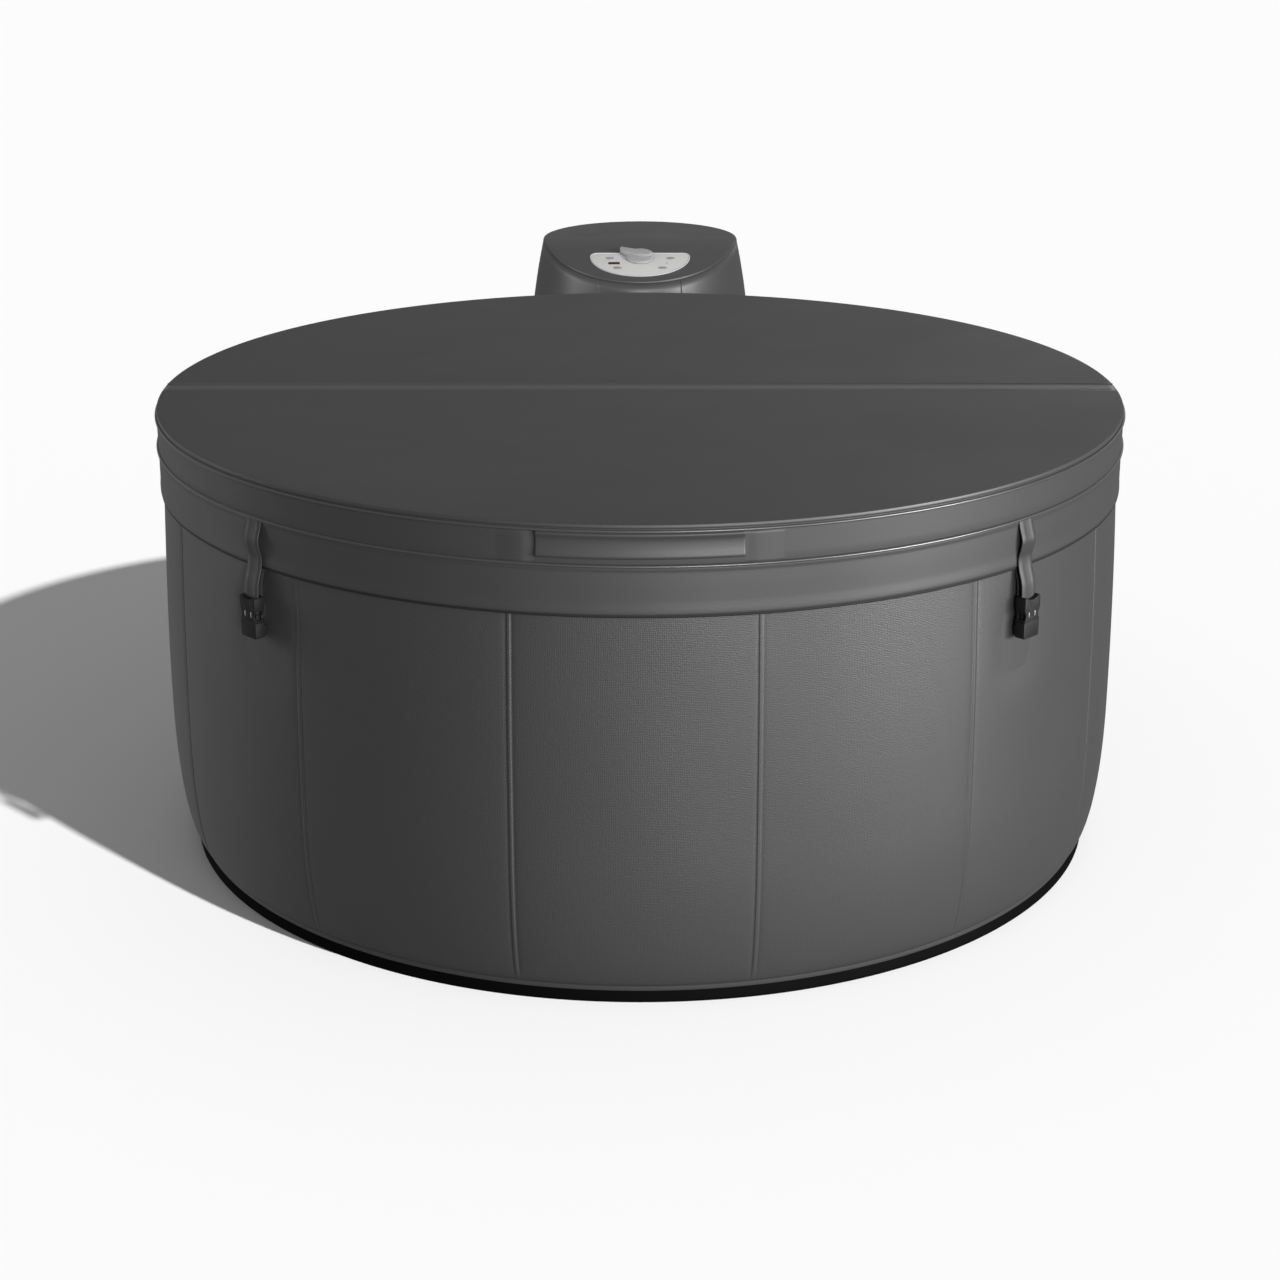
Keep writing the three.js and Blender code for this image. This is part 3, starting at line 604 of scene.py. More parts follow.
def make_liner():
    well = 618 * MM
    floor = LINER_LOW.z + 1.7 * MM
    corner = 30 * MM
    thick = 1.5 * MM
    wall_low, wall_high = floor + corner, RIM_Z - RIM_ROUND
    face = [(0, floor)] + [(well * t, floor) for t in (0.3, 0.6, 0.85)]
    face += [(well - corner + x, wall_low + y) for x, y in arc(0, 0, corner, corner, -90, 0, 8)]
    face += [(well, wall_low + (wall_high - wall_low) * i / 10) for i in range(1, 10)]
    face += [(well + RIM_ROUND - x, wall_high + y) for x, y in arc(0, 0, RIM_ROUND, RIM_ROUND, 0, 90, 6)]
    face.append((LINER_HIGH.x - 0.5 * MM, RIM_Z))
    back = [(r + (thick if r > 1 * MM and z < RIM_Z - 1 * MM else 0), z - thick) for r, z in reversed(face)]

    def shape(r, z, angle, index):
        if index >= len(face) or r < 0.3:
            return r, z
        ripple = 1.0 * MM * noise.noise(Vector((9 * math.cos(angle), 9 * math.sin(angle), 7 * z)))
        return r - abs(ripple), z

    piece = turn("liner_skin", face + back, segments=168, shape=shape)
    finish_piece(piece, "liner_vinyl", "tub", ["liner"])
    bead = [(RIM_IN + 4 * MM * math.cos(t), RIM_Z + 0.2 * MM + 2.2 * MM * max(0, math.sin(t)))
            for t in [math.pi * i / 8 for i in range(9)]]
    piece = turn("rim_welt", bead, segments=200, closed=True)
    finish_piece(piece, "jacket_vinyl", "tub", ["rim_bead"])


def make_well_fittings():
    """Jets and light inside the well, and the drain's body through the wall, turned smooth."""
    flange = [(36, 615), (36.5, 612), (34, 609.5), (25, 603), (20, 601), (11, 601), (14.5, 606), (17, 613),
              (15, 622), (9, 627), (9, 655), (19.5, 655), (19.5, 615)]
    ball = [(4.5, 624)] + arc(0, 614, 12.4, 12.4, 66, -66, 11) + [(4.5, 602.5)]
    for side, angle in (("left", 130), ("right", 50)):
        lathe_part(f"jet_flange_{side}", flange, angle, 0.36, "white_plastic", "tub",
                   [f"jet_body_{side}"], True)
        lathe_part(f"jet_ball_{side}", ball, angle, 0.36, "white_plastic", f"nozzle_{side}",
                   [f"jet_nozzle_{side}"], True)
    dome = [(0, 615), (33, 615), (34, 613), (33.5, 610), (28, 606), (18, 603.5), (0, 602.8)]
    lathe_part("light_dome", dome, 270, 0.30, "clear_lens", "tub", ["light_lens"])
    drain = [(9, 702), (17, 702), (17, 747), (28.5, 747), (30, 748.5), (30, 751.5), (28.5, 753), (9, 753)]
    lathe_part("drain_body", drain, *DRAIN, "black_plastic", "tub", ["drain_fitting"], True)


def lathe_part(name, profile_mm, angle, z, look, body, replaces, closed=False):
    """A profile of (radius, distance from the tub's axis) in mm, turned about a radius of the tub."""
    piece = turn(name, in_mm(profile_mm), segments=48, closed=closed)
    piece.data.transform(radial_frame(angle, z))
    round_edges(piece, 0.8 * MM, 2, 35)
    finish_piece(piece, look, body, replaces)


def make_drain_cap():
    profile = in_mm([(0, 753.5), (21, 753.5), (22, 755), (22, 766), (20, 769), (0, 770)])
    cap = turn("drain_knob", profile, segments=48,
               shape=lambda r, z, a, k: (r * (1 + 0.025 * math.cos(16 * a)) if r > 0.02 else r, z))
    cap.data.transform(radial_frame(*DRAIN))
    finish_piece(cap, "black_plastic", "drain_cap_body", ["drain_cap"])
    wing = prism("drain_wing", in_mm(rectangle(-19, 19, -2.5, 2.5)), 768 * MM, 781 * MM, 2 * MM)
    wing.data.transform(radial_frame(*DRAIN))
    finish_piece(wing, "black_plastic", "drain_cap_body")


# ---- cover ----
COVER_ROUND = 1.1 * MM
CROWN = 0.3 * MM
FOLD_GAP = 1.0 * MM
UNDER_Z = 641 * MM


def half_ring(radius, flat, side, arc_points, flat_points):
    """A half-disc outline, its straight edge lying flat off the fold line on that side (-1 front, 1 rear)."""
    lean = math.asin(min(1.0, flat / radius))
    points = []
    for i in range(arc_points):
        a = lean + (math.pi - 2 * lean) * i / (arc_points - 1)
        points.append((radius * math.cos(a), side * radius * math.sin(a)))
    end = radius * math.cos(lean)
    for i in range(1, flat_points):
        points.append((-end + 2 * end * i / flat_points, side * flat))
    return points


def rim_drop(x, y):
    """How far the top skin is drawn down towards the cover's rim: most at the front, none at the back."""
    near_rim = max(0.0, 1 - (SKIRT_R - math.hypot(x, y)) / 0.08)
    return 2.2 * MM * near_rim ** 2 * (0.5 - 0.5 * y / SKIRT_R)


def make_cover_half(name, side):
    """Vinyl envelope over a foam slab: rounded top edge, tight sides, a very slight crown and soft drift."""
    # rings from below to the top's middle: distance in from the rim, height, how much of the top's form shows
    edge = 4 * MM
    side_z = UNDER_Z + edge
    rings = [(inset * MM, UNDER_Z, 0) for inset in (366, 250, 120, 40)]
    rings += [(edge - x, side_z - y, 0) for x, y in reversed(arc(0, 0, edge, edge, 0, 90, 4))]
    rings += [(0, side_z + (COVER_TOP - 22 * MM - side_z) * t, 0) for t in (0.35, 0.7)]
    groove = [(0, -22), (0, -14), (0, -12.8), (1.1, -8.9), (1.2, -8.2), (0.9, -7.5), (0.1, -6.6), (0, -6),
              (0.25, -4)]
    rings += [(inset, z, 0) for inset, z in in_mm(groove, 0, COVER_TOP)]
    for i, (x, y) in enumerate(arc(0, 0, COVER_ROUND, COVER_ROUND, 0, 90, 8)):
        rings.append((0.6 * MM + COVER_ROUND - x, COVER_TOP - COVER_ROUND + y, max(0.01, i / 8)))
    rings += [(inset * MM, COVER_TOP, 1) for inset in (18, 30, 50, 80, 120, 170, 230, 290, 340, 366)]
    arc_points, flat_points = 150, 60
    points = []
    for inset, z, crown in rings:
        # the straight fold edge is rounded far less than the rim
        flat_inset = FOLD_GAP + min(inset, 3 * MM if inset <= COVER_ROUND else inset - COVER_ROUND + 3 * MM)
        for x, y in half_ring(SKIRT_R - 0.6 * MM - inset, flat_inset, side, arc_points, flat_points):
            lift = -rim_drop(x, y) if crown else 0.0
            if crown == 1:
                lift += CROWN * (1 - (x * x + y * y) / SKIRT_R ** 2)
                lift += 0.5 * MM * (noise.noise(Vector((3.1 * x, 3.1 * y, 4.0))) - 0.4) * min(1, inset / 0.03)
            points.append((x, y, z + lift))
    columns = arc_points + flat_points - 1
    faces = grid_faces(len(rings), columns, False, True) + end_caps(len(rings), columns)
    piece = new_object(f"cover_pad_{name}", points, faces)
    finish_piece(piece, "cover_vinyl", f"cover_{name}", [f"cover_shell_{name}", f"cover_foam_{name}"])


def half_angles(side, count=180):
    start = 0.0022 if side == 1 else math.pi + 0.0022
    return [start + (math.pi - 0.0044) * i / count for i in range(count + 1)]


def make_piping(name, side):
    for label, z, radius in (("top", COVER_TOP - 11.1 * MM, 2.2), ("low", SKIRT_TOP + 2.3 * MM, 2.5)):
        ring = in_mm(circle(radius, 14), SKIRT_R - 0.1 * MM, z)
        piece = turn(f"piping_{label}_{name}", ring, angles=half_angles(side), closed=True)
        finish_piece(piece, "trim_vinyl", f"cover_{name}")


def make_skirt(name, side):
    """The hanging skirt: a shallow groove under the piping and a full rolled hem standing off the jacket."""
    top = SKIRT_TOP + 2 * MM
    low = SKIRT_BOTTOM - 3.2 * MM
    outer = [(-0.4, 0), (-0.1, -3), (-0.2, -4.6), (-0.9, -7.2), (-0.95, -8.6), (-0.9, -11), (-0.7, -18),
             (-0.5, -30)]
    hem = [(-0.5, 21), (-0.35, 15), (0.2, 9), (0.4, 4), (0.35, 2), (-0.1, 0.7), (-0.8, 0), (-3, 0), (-3.2, 2),
           (-2.6, 8)]
    inner = [(-2.6, -2), (-2.4, 0)]
    profile = in_mm(outer, SKIRT_R, top) + in_mm(hem, SKIRT_R, low) + in_mm(inner, SKIRT_R, top)

    def shape(r, z, angle, index):
        wave = noise.noise(Vector((11 * math.cos(angle), 11 * math.sin(angle), 3 * z)))
        return r + 0.4 * MM * min(1.0, (top - z) / 0.05) * wave, z

    piece = turn(f"skirt_{name}", profile, angles=half_angles(side), closed=True, shape=shape)
    finish_piece(piece, "cover_vinyl", f"cover_{name}", [f"cover_skirt_{name}"])
    # Along the hem's lower edge runs a near-black strip: painted shadow for the dark gap line under the hem,
    # not a real binding.
    edge = [(-0.3, 0.6), (-0.35, -2.2), (-0.9, -3.4), (-1.8, -3.6), (-2.4, -2.6), (-2.6, 0.6)]
    binding = turn(f"hem_binding_{name}", in_mm(edge, SKIRT_R, low), angles=half_angles(side), closed=True,
                   shape=shape)
    finish_piece(binding, "binding", f"cover_{name}")


def make_fold_strip():
    """The strip over the fold: a soft swelling on the front half and a fine welded ridge on the rear half."""
    end = SKIRT_R - 3 * MM
    across = [(-25, 0.0), (-23, 0.4), (-20, 0.9), (-17, 1.2), (-14, 1.1), (-11, 0.75), (-8, 0.45), (-5, 0.25),
              (-2.5, 0.2), (0, 0.15), (2.5, 0.15), (5, 0.18), (8, 0.25), (10.5, 0.35), (12, 0.7), (13, 1.6),
              (14, 2.3), (15, 2.5), (16, 2.3), (17, 1.6), (18, 0.7), (19, 0.2), (20, 0.0)]
    section = in_mm([(y, h + 0.15) for y, h in across] + [(y, -0.5) for y, _ in reversed(across)])
    columns = 160
    stations = []
    for i in range(columns + 1):
        x = -end + 2 * end * i / columns
        rise = CROWN * (1 - (x / SKIRT_R) ** 2) - rim_drop(x, 0)
        stations.append((Vector((x, 0, COVER_TOP + rise)), Vector((0, 1, 0)), UP))
    piece = sweep("fold_strip", section, stations)
    piece.data.materials.append(LOOKS["trim_vinyl"])
    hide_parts("cover_fold_strip")
    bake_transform(piece)


HANDLE_SPAN = math.radians(10.45)


def make_handle():
    """A padded grip with a rolled top edge and a hollow face, lying close to the band and bowed a little."""
    low, high = HANDLE_LOW.z - 4.6 * MM, HANDLE_HIGH.z + 2.2 * MM
    height = high - low
    face = [(0.0, 1.2), (0.02, 2.4), (0.05, 3.1), (0.09, 3.4), (0.14, 3.25), (0.20, 2.75), (0.28, 2.15),
            (0.36, 1.7), (0.46, 1.35), (0.56, 1.15), (0.66, 1.08), (0.75, 1.3), (0.80, 1.9), (0.85, 2.8),
            (0.90, 3.5), (0.95, 3.6), (0.98, 3.0), (1.0, 2.0)]
    section = [(out * MM, y * height) for y, out in face]
    section += [(0.6 * MM, 1.03 * height), (-1.6 * MM, 1.06 * height), (-1.6 * MM, 0.94 * height),
                (-1.0 * MM, 0.90 * height)]
    section += [(0.0, y * height) for y in (0.8, 0.6, 0.4, 0.2, 0.01)]
    steps = 90
    stations = []
    for i in range(steps + 1):
        t = -1 + 2 * i / steps
        a = FRONT + HANDLE_SPAN * t
        inner = SKIRT_R + 0.2 * MM + 1.4 * MM * (1 - t * t) ** 0.7
        stations.append((spoke(a, inner, low), spoke(a), UP))
    piece = sweep("handle_grip", section, stations)
    finish_piece(piece, "cover_vinyl", "cover_front", ["cover_handle"])
    for label, sign in (("left", -1), ("right", 1)):
        make_handle_root(label, sign)


def make_handle_root(label, sign):
    """Beside the grip the band's vinyl rises very slowly and then dips to the weld at the grip's end."""
    rows, columns = 9, 43
    low, high = SKIRT_TOP + 2 * MM, COVER_TOP - 11.5 * MM
    outer, inner = [], []
    for i in range(rows):
        z = low + (high - low) * i / (rows - 1)
        for j in range(columns):
            t = j / (columns - 1)
            a = FRONT + sign * (HANDLE_SPAN - math.radians(0.12) + math.radians(4.6) * t)
            u = t / 0.34 if t < 0.34 else (1 - t) / 0.66
            rise = 1.8 * MM * u * u * (3 - 2 * u) - 0.15 * MM
            outer.append(spoke(a, SKIRT_R - 0.6 * MM + rise, z))
            inner.append(spoke(a, SKIRT_R - 2 * MM, z))
    faces = grid_faces(rows, columns, False, False)
    count = rows * columns
    faces += [tuple(count + i for i in reversed(f)) for f in faces]
    rim = list(range(columns)) + [i * columns + columns - 1 for i in range(1, rows)]
    rim += [(rows - 1) * columns + j for j in range(columns - 2, -1, -1)]
    rim += [i * columns for i in range(rows - 2, 0, -1)]
    faces += [(a, b, count + b, count + a) for a, b in zip(rim, rim[1:] + rim[:1])]
    piece = new_object(f"handle_root_{label}", outer + inner, faces)
    finish_piece(piece, "cover_vinyl", "cover_front")


# ---- cover locks ----
SOCKET_BACK, SOCKET_FACE = 754 * MM, 770 * MM


def strap_stations(line, angle):
    """Stations along a line of (distance from the axis, height), which lies in one upright plane."""
    a = math.radians(angle)
    along = Vector((-math.sin(a), math.cos(a), 0))
    points = [spoke(a, p[0], p[1]) for p in smooth_line(line, 7)]
    stations = []
    for i, p in enumerate(points):
        tangent = (points[min(i + 1, len(points) - 1)] - points[max(i - 1, 0)]).normalized()
        stations.append((p, along, tangent.cross(along)))
    return stations


def make_lock(name, angle):
    cover = "cover_" + name.split("_")[0]
    line = [(750.2 * MM, SKIRT_TOP + 1.5 * MM)]
    line += in_mm([(752.6, 630), (757.6, 613), (755.6, 599), (752.7, 587), (754.8, 571), (760, 554),
                   (761.5, 542), (762, 528)])
    face = [(-15.2, -0.2), (-14.7, 0.6), (-12.8, 0.75), (-11, 0.95), (-9, 1.2), (-7, 1.15), (-5, 0.9),
            (-3, 0.75), (0, 0.7), (4, 0.75), (6.4, 0.85), (8, 1.1), (9.3, 1.2), (10.6, 1.05), (12, 0.8),
            (14.7, 0.6), (15.2, -0.2)]
    section = in_mm(face + [(x, -1.0) for x, _ in reversed(face)])
    strap = sweep(f"strap_{name}", section, strap_stations(line, angle))
    finish_piece(strap, "strap_vinyl", cover, [f"lock_strap_{name}"])

    web_line = in_mm([(745, 604), (745, 588), (745.4, 572), (750.5, 552), (752.1, 530), (752.2, 500)])
    web_line.append((752.1 * MM, PLUG_LOW.z + 3 * MM))
    web_section = in_mm(rectangle(-12.3, 12.3, -0.45, 0.45))
    web = sweep(f"webbing_{name}", web_section, strap_stations(web_line, angle))
    web.data.materials.append(LOOKS["webbing"])
    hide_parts(f"lock_webbing_{name}")
    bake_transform(web)
    make_socket(name, angle, cover)
    make_plug(name, angle)


def cut(piece, tool):
    change = piece.modifiers.new("cut", "BOOLEAN")
    change.operation = "DIFFERENCE"
    change.solver = "EXACT"
    change.object = tool
    bake(piece)
    bpy.data.objects.remove(tool)


def bake(piece):
    """Applies the piece's modifiers."""
    graph = bpy.context.evaluated_depsgraph_get()
    graph.update()
    fresh = bpy.data.meshes.new_from_object(piece.evaluated_get(graph))
    old = piece.data
    piece.modifiers.clear()
    piece.data = fresh
    bpy.data.meshes.remove(old)


def buckle_prism(name, outline, height, depths, edge=0.0):
    """All but the height is in millimetres, the depths are measured from the socket's back."""
    back, face = (SOCKET_BACK + depth * MM for depth in depths)
    return prism(name, in_mm(outline, 0, height), back, face, edge * MM, 2)


def buckle_detail(name, outline, height, depths, edge, angle, body, look="black_plastic"):
    piece = buckle_prism(name, outline, height, depths, edge)
    piece.data.transform(radial_frame(angle, 0))
    finish_piece(piece, look, body)


def make_socket(name, angle, cover):
    low, high = SOCKET_LOW.z, SOCKET_HIGH.z
    mouth_half, mouth_depth = 13.5, 4.5
    mouth = [(x, -mouth_depth * math.cos(math.pi / 2 * x / mouth_half) ** 0.8)
             for x in (mouth_half, 11, 8, 4, 0, -4, -8, -11, -mouth_half)]
    side = in_mm([(16.6, 0), (17, 1.6), (14.6, 4.5), (14, 9), (14.8, 13.5), (17, 17.5)], 0, low)
    side += in_mm([(17.2, -8), (17, -2), (15.5, 0)], 0, high)
    outline = side + in_mm(mouth, 0, high) + [(-x, y) for x, y in reversed(side)]
    body = prism(f"socket_{name}", outline, SOCKET_BACK, SOCKET_FACE)
    cut(body, buckle_prism("pocket", rectangle(-14, 14, -5, 27), low, (3, 13)))
    cut(body, buckle_prism("windows", rectangle(-30, 30, 3, 15.5), low, (3.4, 12.6)))
    marks = (-6.8, 6.8)
    for x in marks:
        cut(body, buckle_prism("slit", rectangle(x - 1.3, x + 1.3, 5.5, 14.5), low, (14.4, 21)))
    body.data.transform(radial_frame(angle, 0))
    round_edges(body, 0.7 * MM, 2)
    finish_piece(body, "black_plastic", cover, [f"buckle_socket_{name}"])
    # The light grey tapered marks in the two slits are painted highlights: they stand for the glint on the
    # slits' edges and are no part of the buckle.
    for index, x in enumerate(marks):
        glint = [(x - 0.3, 6.2), (x + 0.3, 6.2), (x + 0.9, 12), (x + 0.9, 14.2), (x - 0.9, 14.2), (x - 0.9, 12)]
        buckle_detail(f"socket_pin_{name}_{index}", glint, low, (14.3, 15.8), 0.4, angle, cover, "dial_plastic")


def make_plug(name, angle):
    low, high = PLUG_LOW.z, SOCKET_LOW.z - 0.5 * MM
    outline = in_mm([(-15, 0), (15, 0), (17, 2.5)], 0, low)
    outline += in_mm([(17, -1), (16, 0), (14, 0), (13.6, 1)], 0, high)
    outline += in_mm([(-13.6, 1), (-14, 0), (-16, 0), (-17, -1)], 0, high)
    outline += in_mm([(-17, 2.5)], 0, low)
    body = prism(f"plug_{name}", outline, SOCKET_BACK, SOCKET_FACE)
    cut(body, buckle_prism("slot", rectangle(-13, 13, 6, 9), low, (-5, 11)))
    body.data.transform(radial_frame(angle, 0))
    round_edges(body, 0.7 * MM, 2)
    moving = f"plug_{name}"
    finish_piece(body, "black_plastic", moving, [f"buckle_plug_{name}"])
    prongs = {"left": [(-13.5, 0), (-8, 0), (-8, 14), (-10, 24), (-12, 24), (-14, 13), (-12.5, 10)],
              "right": [(13.5, 0), (12.5, 10), (14, 13), (12, 24), (10, 24), (8, 14), (8, 0)],
              "guide": [(-2, 0), (2, 0), (1.5, 24), (-1.5, 24)]}
    for label, points in prongs.items():
        buckle_detail(f"plug_{label}_{name}", points, high, (4.5, 11.5), 0.6, angle, moving)
    buckle_detail(f"plug_keeper_{name}", rectangle(-15.5, 15.5, 4, 17), low, (-4.2, -3.0), 0.5, angle, moving)
    for label, x in (("left", -14.3), ("right", 14.3)):
        cheek = rectangle(x - 1.2, x + 1.2, 4, 17)
        buckle_detail(f"plug_cheek_{label}_{name}", cheek, low, (-4.0, 1), 0.4, angle, moving)


# ---- power pack ----
PACK_TOP_R = 190 * MM
PACK_FLARE = 50 * MM
PACK_FLARE_H = 220 * MM
PACK_FRONT_Z = 706 * MM
PACK_SLOPE = 0.325
PACK_SEAM = math.radians(22.9)
CAP_LIP = 4.6 * MM
PANEL_FRONT_Y, PANEL_BACK_Y = 858.6 * MM, 946.5 * MM
PACK_LOW = TRAY_HIGH.z


def pack_radius(z):
    return PACK_TOP_R + PACK_FLARE * (1 - math.exp(-max(PACK_TOP - z, 0) / PACK_FLARE_H))


def cap_height(y):
    """The cap's face: a flat slope in front, a short bend, then level to the back."""
    front = PACK_Y - PACK_TOP_R
    bend, flat = 958 * MM, 1030 * MM
    meet = front + (PACK_TOP - PACK_FRONT_Z) / PACK_SLOPE
    if y <= bend:
        return PACK_FRONT_Z + PACK_SLOPE * (y - front)
    if y >= flat:
        return PACK_TOP
    a, b, c = bend - 2 * meet + flat, 2 * (meet - bend), bend - y
    t = (-b + math.sqrt(b * b - 4 * a * c)) / (2 * a)
    start = PACK_FRONT_Z + PACK_SLOPE * (bend - front)
    return (1 - t) ** 2 * start + (1 - (1 - t) ** 2) * PACK_TOP


def cap_edge(angle):
    """Radius and height where the cap's face meets the pack's side."""
    r = PACK_TOP_R
    for _ in range(8):
        z = cap_height(PACK_Y + r * math.sin(angle))
        r = pack_radius(z)
    return r, z


def around_pack(angle, column):
    return [(r * math.cos(angle), PACK_Y + r * math.sin(angle), z) for r, z in column]


def make_pack_shells():
    steps = 40
    low = PACK_LOW + 0.4 * MM
    near = [i * MM / 0.2 for i in (0, 0.25, 0.5, 0.9, 1.5, 2.5, 5)]    # angles close to a shell's edge

    def shell(name, first, last, count, node):
        angles = [first + d for d in near]
        angles += [first + (last - first) * i / count for i in range(2, count - 1)]
        angles += [last - d for d in reversed(near)]
        points = []
        for a in angles:
            top = cap_edge(a)[1] - CAP_LIP - 0.3 * MM
            roll = 0.7 * MM * math.exp(-min(a - first, last - a) * 0.2 / (0.5 * MM))
            heights = [low + (top - low) * k / steps for k in range(steps + 1)]
            face = [(pack_radius(z) - roll, z) for z in heights]
            points += around_pack(a, face + [(r - 3.5 * MM, z) for r, z in reversed(face)])
        columns = 2 * (steps + 1)
        faces = grid_faces(len(angles), columns, False, True) + end_caps(len(angles), columns)
        piece = new_object(name, points, faces)
        finish_piece(piece, "pack_plastic", "tub", [node])

    groove = 0.0022
    shell("pack_front", FRONT - PACK_SEAM, FRONT + PACK_SEAM, 60, "pack_shell_front")
    shell("pack_rear", FRONT + PACK_SEAM + groove, FRONT - PACK_SEAM - groove + TAU, 220, "pack_shell_rear")


def make_pack_cap():
    """The sloped lid of the pack, flush with the shells, with a low lip and a small rounded edge."""
    edge = 1.3 * MM
    proud = 0.3 * MM
    count = 168
    points = []
    for j in range(count):
        a = FRONT + TAU * j / count
        r_edge, z_edge = cap_edge(a)
        lip = z_edge - CAP_LIP
        column = in_mm([(-6.3, 0), (-0.5, 0), (0, 0.5)], pack_radius(lip) + proud, lip)
        column += arc(r_edge + proud - edge, z_edge - edge, edge, edge, 0, 90, 5)
        for part in (0.975, 0.94, 0.9, 0.84, 0.76, 0.68, 0.58, 0.48, 0.38, 0.28, 0.18, 0.09, 0.02):
            r = r_edge * part
            column.append((r, cap_height(PACK_Y + r * math.sin(a))))
        points += around_pack(a, column)
    columns = len(column)
    faces = grid_faces(count, columns, True, False)
    faces.append(tuple(j * columns for j in range(count)))
    faces.append(tuple(j * columns + columns - 1 for j in reversed(range(count))))
    piece = new_object("pack_cap", points, faces)
    finish_piece(piece, "pack_plastic", "tub", ["pack_top_cap"])


SLOPE_STRETCH = math.hypot(1, PACK_SLOPE)


def panel_place(x_mm, y_mm, height_mm=0.0):
    """From the panel's own plane to the sloped face of the cap."""
    tilt = Matrix.Rotation(math.atan(PACK_SLOPE), 4, "X")
    origin = Vector((0, PANEL_FRONT_Y, cap_height(PANEL_FRONT_Y)))
    local = Vector((x_mm * MM, (y_mm * MM - PANEL_FRONT_Y) * SLOPE_STRETCH, height_mm * MM))
    return Matrix.Translation(origin) @ tilt @ Matrix.Translation(local)


def half_moon(inset):
    length = (PANEL_BACK_Y - PANEL_FRONT_Y) * SLOPE_STRETCH
    corner = 14 * MM
    a = 97 * MM - inset
    points = arc(0, length - corner, a, length - corner - inset, 180, 360, 48)
    round_r = corner - inset * 0.5
    points += arc(a - round_r, length - corner, round_r, corner - inset, 8, 90, 8)
    return points + arc(-a + round_r, length - corner, round_r, corner - inset, 90, 172, 8)


def make_controls():
    panel = prism("panel_plate", half_moon(0), -3 * MM, 1.0 * MM, 0.9 * MM, 4)
    panel.data.transform(panel_place(0, PANEL_FRONT_Y / MM))
    finish_piece(panel, "panel_plastic", "tub", ["control_panel"])
    rim = prism("panel_rim", half_moon(0), -3 * MM, 1.7 * MM)
    cut(rim, prism("rim_inside", half_moon(2.4 * MM), -5 * MM, 5 * MM))
    rim.data.transform(panel_place(0, PANEL_FRONT_Y / MM))
    round_edges(rim, 0.5 * MM, 2)
    finish_piece(rim, "white_plastic", "tub")

    keys = {"mode": (-58, 925), "lower": (-43, 889), "jets": (60, 925), "light": (44, 889)}
    oval = [(px * 8 * MM, py * 4.5 * MM) for px, py in circle(1, 40)]
    for name, (x, y) in keys.items():
        key = prism(f"key_{name}", oval, -1.2 * MM, 2.4 * MM, 0.8 * MM, 4)
        key.data.transform(panel_place(x, y))
        finish_piece(key, "key_plastic", f"key_{name}", [f"button_{name}"])
    pane = in_mm(rectangle(-11, 11, -4.4, 4.4))
    window = prism("display_pane", pane, 0.2 * MM, 1.7 * MM, 0.7 * MM, 3)
    window.data.transform(panel_place(-50, 907))
    finish_piece(window, "display_red", "tub", ["display_window"])
    oval = [(px * 2.2 * MM, py * 1.6 * MM) for px, py in circle(1, 24)]
    lamp = prism("status_lamp", oval, 0, 1.7 * MM, 0.5 * MM, 3)
    lamp.data.transform(panel_place(52, 907))
    finish_piece(lamp, "key_plastic", "tub")
    make_dial()


def make_dial():
    """A low round skirt with a raised lever whose broad tip reads on the panel."""
    base = [(0, 0.3), (27.9, 0.3), (28.5, 0.9), (28.5, 2.6), (28, 3.8), (26.5, 5.0), (23, 5.8), (12, 6.3),
            (0, 6.5)]
    knob = turn("dial_base", in_mm(base), segments=96)
    knob.data.transform(panel_place(0, 930, 1.2))
    finish_piece(knob, "dial_plastic", "dial_body", ["dial"])
    lever_line = [(-38.5, 10), (-38.8, 18), (-36.5, 24), (-26, 20.8), (0, 12), (19, 5), (24.5, 0), (21, -5.5),
                  (10, -8.5), (0, -9), (-10, -7), (-20, -2.5), (-31, 3), (-38.5, 10)]
    outline = in_mm(smooth_line(lever_line, 5)[:-1])
    lever = prism("dial_lever", outline, 3 * MM, 10.5 * MM, 1.6 * MM, 4)
    lever.data.transform(panel_place(0, 930, 1.2))
    finish_piece(lever, "dial_plastic", "dial_body")


def make_pack_base():
    foot = pack_radius(0) - 14 * MM
    rim = pack_radius(PACK_LOW)
    profile = [(0, 0)] + in_mm([(-2, 0), (0, 1.5)], foot)
    profile += in_mm([(-5, 10)], pack_radius(10 * MM)) + in_mm([(-1.5, 18)], pack_radius(20 * MM))
    profile += in_mm([(-0.5, 30)], rim) + in_mm([(0, -1.5), (-1, 0), (-4, 0)], rim, PACK_LOW)
    profile += [(foot - 6 * MM, 8 * MM), (0, 8 * MM)]
    tray = turn("pack_tray", profile, segments=144, axis=(0, PACK_Y))
    finish_piece(tray, "black_plastic", "tub", ["pack_base"])


def face_back(piece, x, y, z):
    """Lays a turned piece down so that its axis runs to the back from that point."""
    piece.data.transform(Matrix.Translation((x, y, z)) @ Matrix.Rotation(-math.pi / 2, 4, "X"))


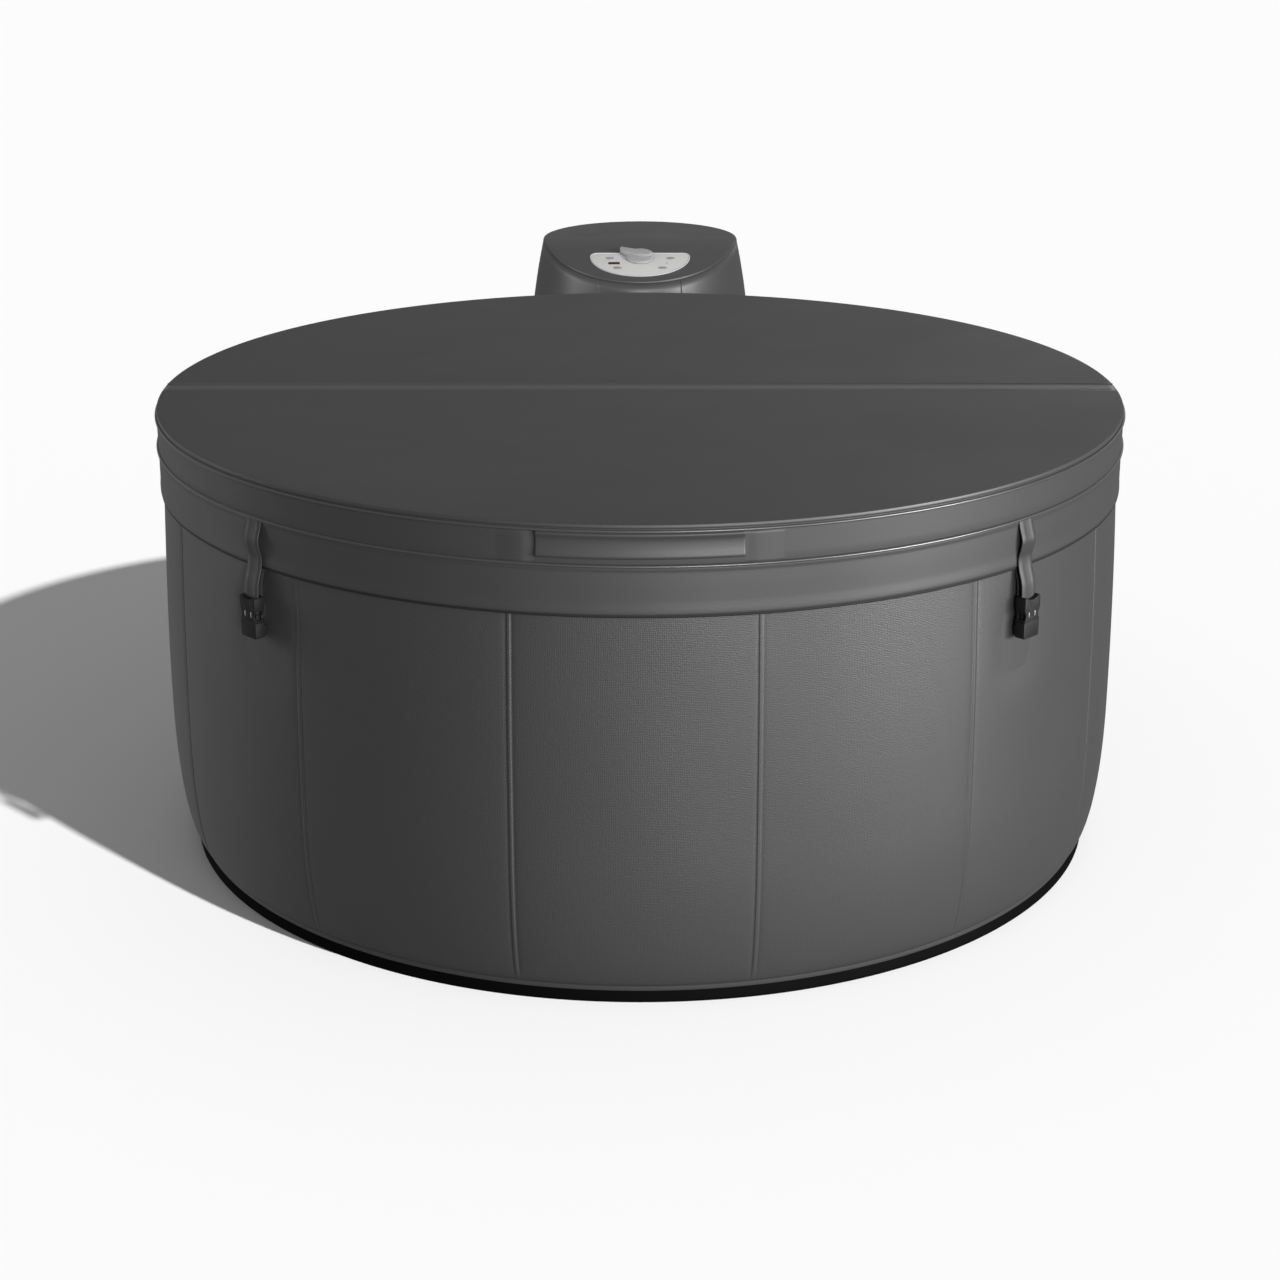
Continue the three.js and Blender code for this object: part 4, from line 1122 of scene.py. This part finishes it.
def make_plumbing():
    """The two hoses with their couplings, and the gland where the supply cord would leave."""
    fittings = {"suction": (-110 * MM, 150 * MM), "return": (110 * MM, 360 * MM)}

    def ribs(r, h, angle, index):
        return r + (0.9 * MM * math.cos(24 * angle) if r > 0.0315 else 0), h

    for name, (x, z) in fittings.items():
        start = 700 * MM if name == "return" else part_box("suction_fitting")[0].y
        pipe = tube(f"{name}_pipe", [(x, start, z), (x, 740 * MM, z), (x, 775 * MM, z)], 23.5 * MM, 40, 4)
        round_edges(pipe, 1.5 * MM, 2, 60)
        finish_piece(pipe, "white_plastic", "tub", [f"{name}_fitting"])
        profile = in_mm([(23, 0), (30, 0), (32, 2), (32, 20), (30, 22), (23, 22)])
        nut = turn(f"{name}_nut", profile, segments=96, closed=True, shape=ribs)
        face_back(nut, x, 757 * MM, z)
        finish_piece(nut, "black_plastic", "tub")
    for name, (x, z) in fittings.items():
        profile = in_mm([(24, -10), (44, -10), (45, 2), (43, 4), (27, 7), (24, 7)])
        plate = turn(f"{name}_flange", profile, segments=72, closed=True)
        face_back(plate, x, math.sqrt(BELLY_R ** 2 - x ** 2), z)
        finish_piece(plate, "black_plastic", "tub")
    line = [(-0.110, 0.776, 0.150), (-0.110, 0.830, 0.150), (-0.120, 0.900, 0.140), (-0.120, 0.960, 0.125),
            (-0.124, 0.985, 0.122)]
    suction = tube("suction_hose_smooth", line, 20 * MM, 32)
    finish_piece(suction, "hose_vinyl", "tub", ["suction_hose"])
    line = [(0.110, 0.776, 0.360), (0.110, 0.830, 0.360), (0.095, 0.880, 0.355), (0.020, 0.930, 0.320),
            (-0.060, 0.990, 0.270), (-0.075, 1.060, 0.226), (-0.075, 1.060, 0.195)]
    outlet = tube("return_hose_smooth", line, 18 * MM, 32)
    finish_piece(outlet, "hose_vinyl", "tub", ["return_hose"])
    profile = in_mm([(5, 1240), (12, 1240), (12, 1284), (13, 1286), (13, 1292), (9, 1300), (5, 1298)])
    gland = turn("gland", profile, segments=40, closed=True)
    face_back(gland, 0.09, 0, 0.09)
    finish_piece(gland, "gland_rubber", "tub", ["cord_gland"])


def split_lights():
    """The pack's own lights fall on the pack's outside alone, and the tub's lights leave it out."""
    pack_only, tub_only = bpy.data.collections["pack_only"], bpy.data.collections["tub_only"]
    for piece in bpy.data.objects:
        if piece.type == "MESH" and piece.name.startswith(PACK_NAMES):
            pack_only.objects.link(piece)
            tub_only.objects.link(piece)
    for member in tub_only.collection_objects:
        member.light_linking.link_state = "EXCLUDE"


make_camera()
make_stage()
dress_frame()
make_jacket()
make_base()
make_liner()
make_well_fittings()
make_drain_cap()
for half_name, half_side in (("rear", 1), ("front", -1)):
    make_cover_half(half_name, half_side)
    make_piping(half_name, half_side)
    make_skirt(half_name, half_side)
make_fold_strip()
make_handle()
for lock_name, lock_angle in LOCKS.items():
    make_lock(lock_name, lock_angle)
make_pack_shells()
make_pack_cap()
make_controls()
make_pack_base()
make_plumbing()
split_lights()
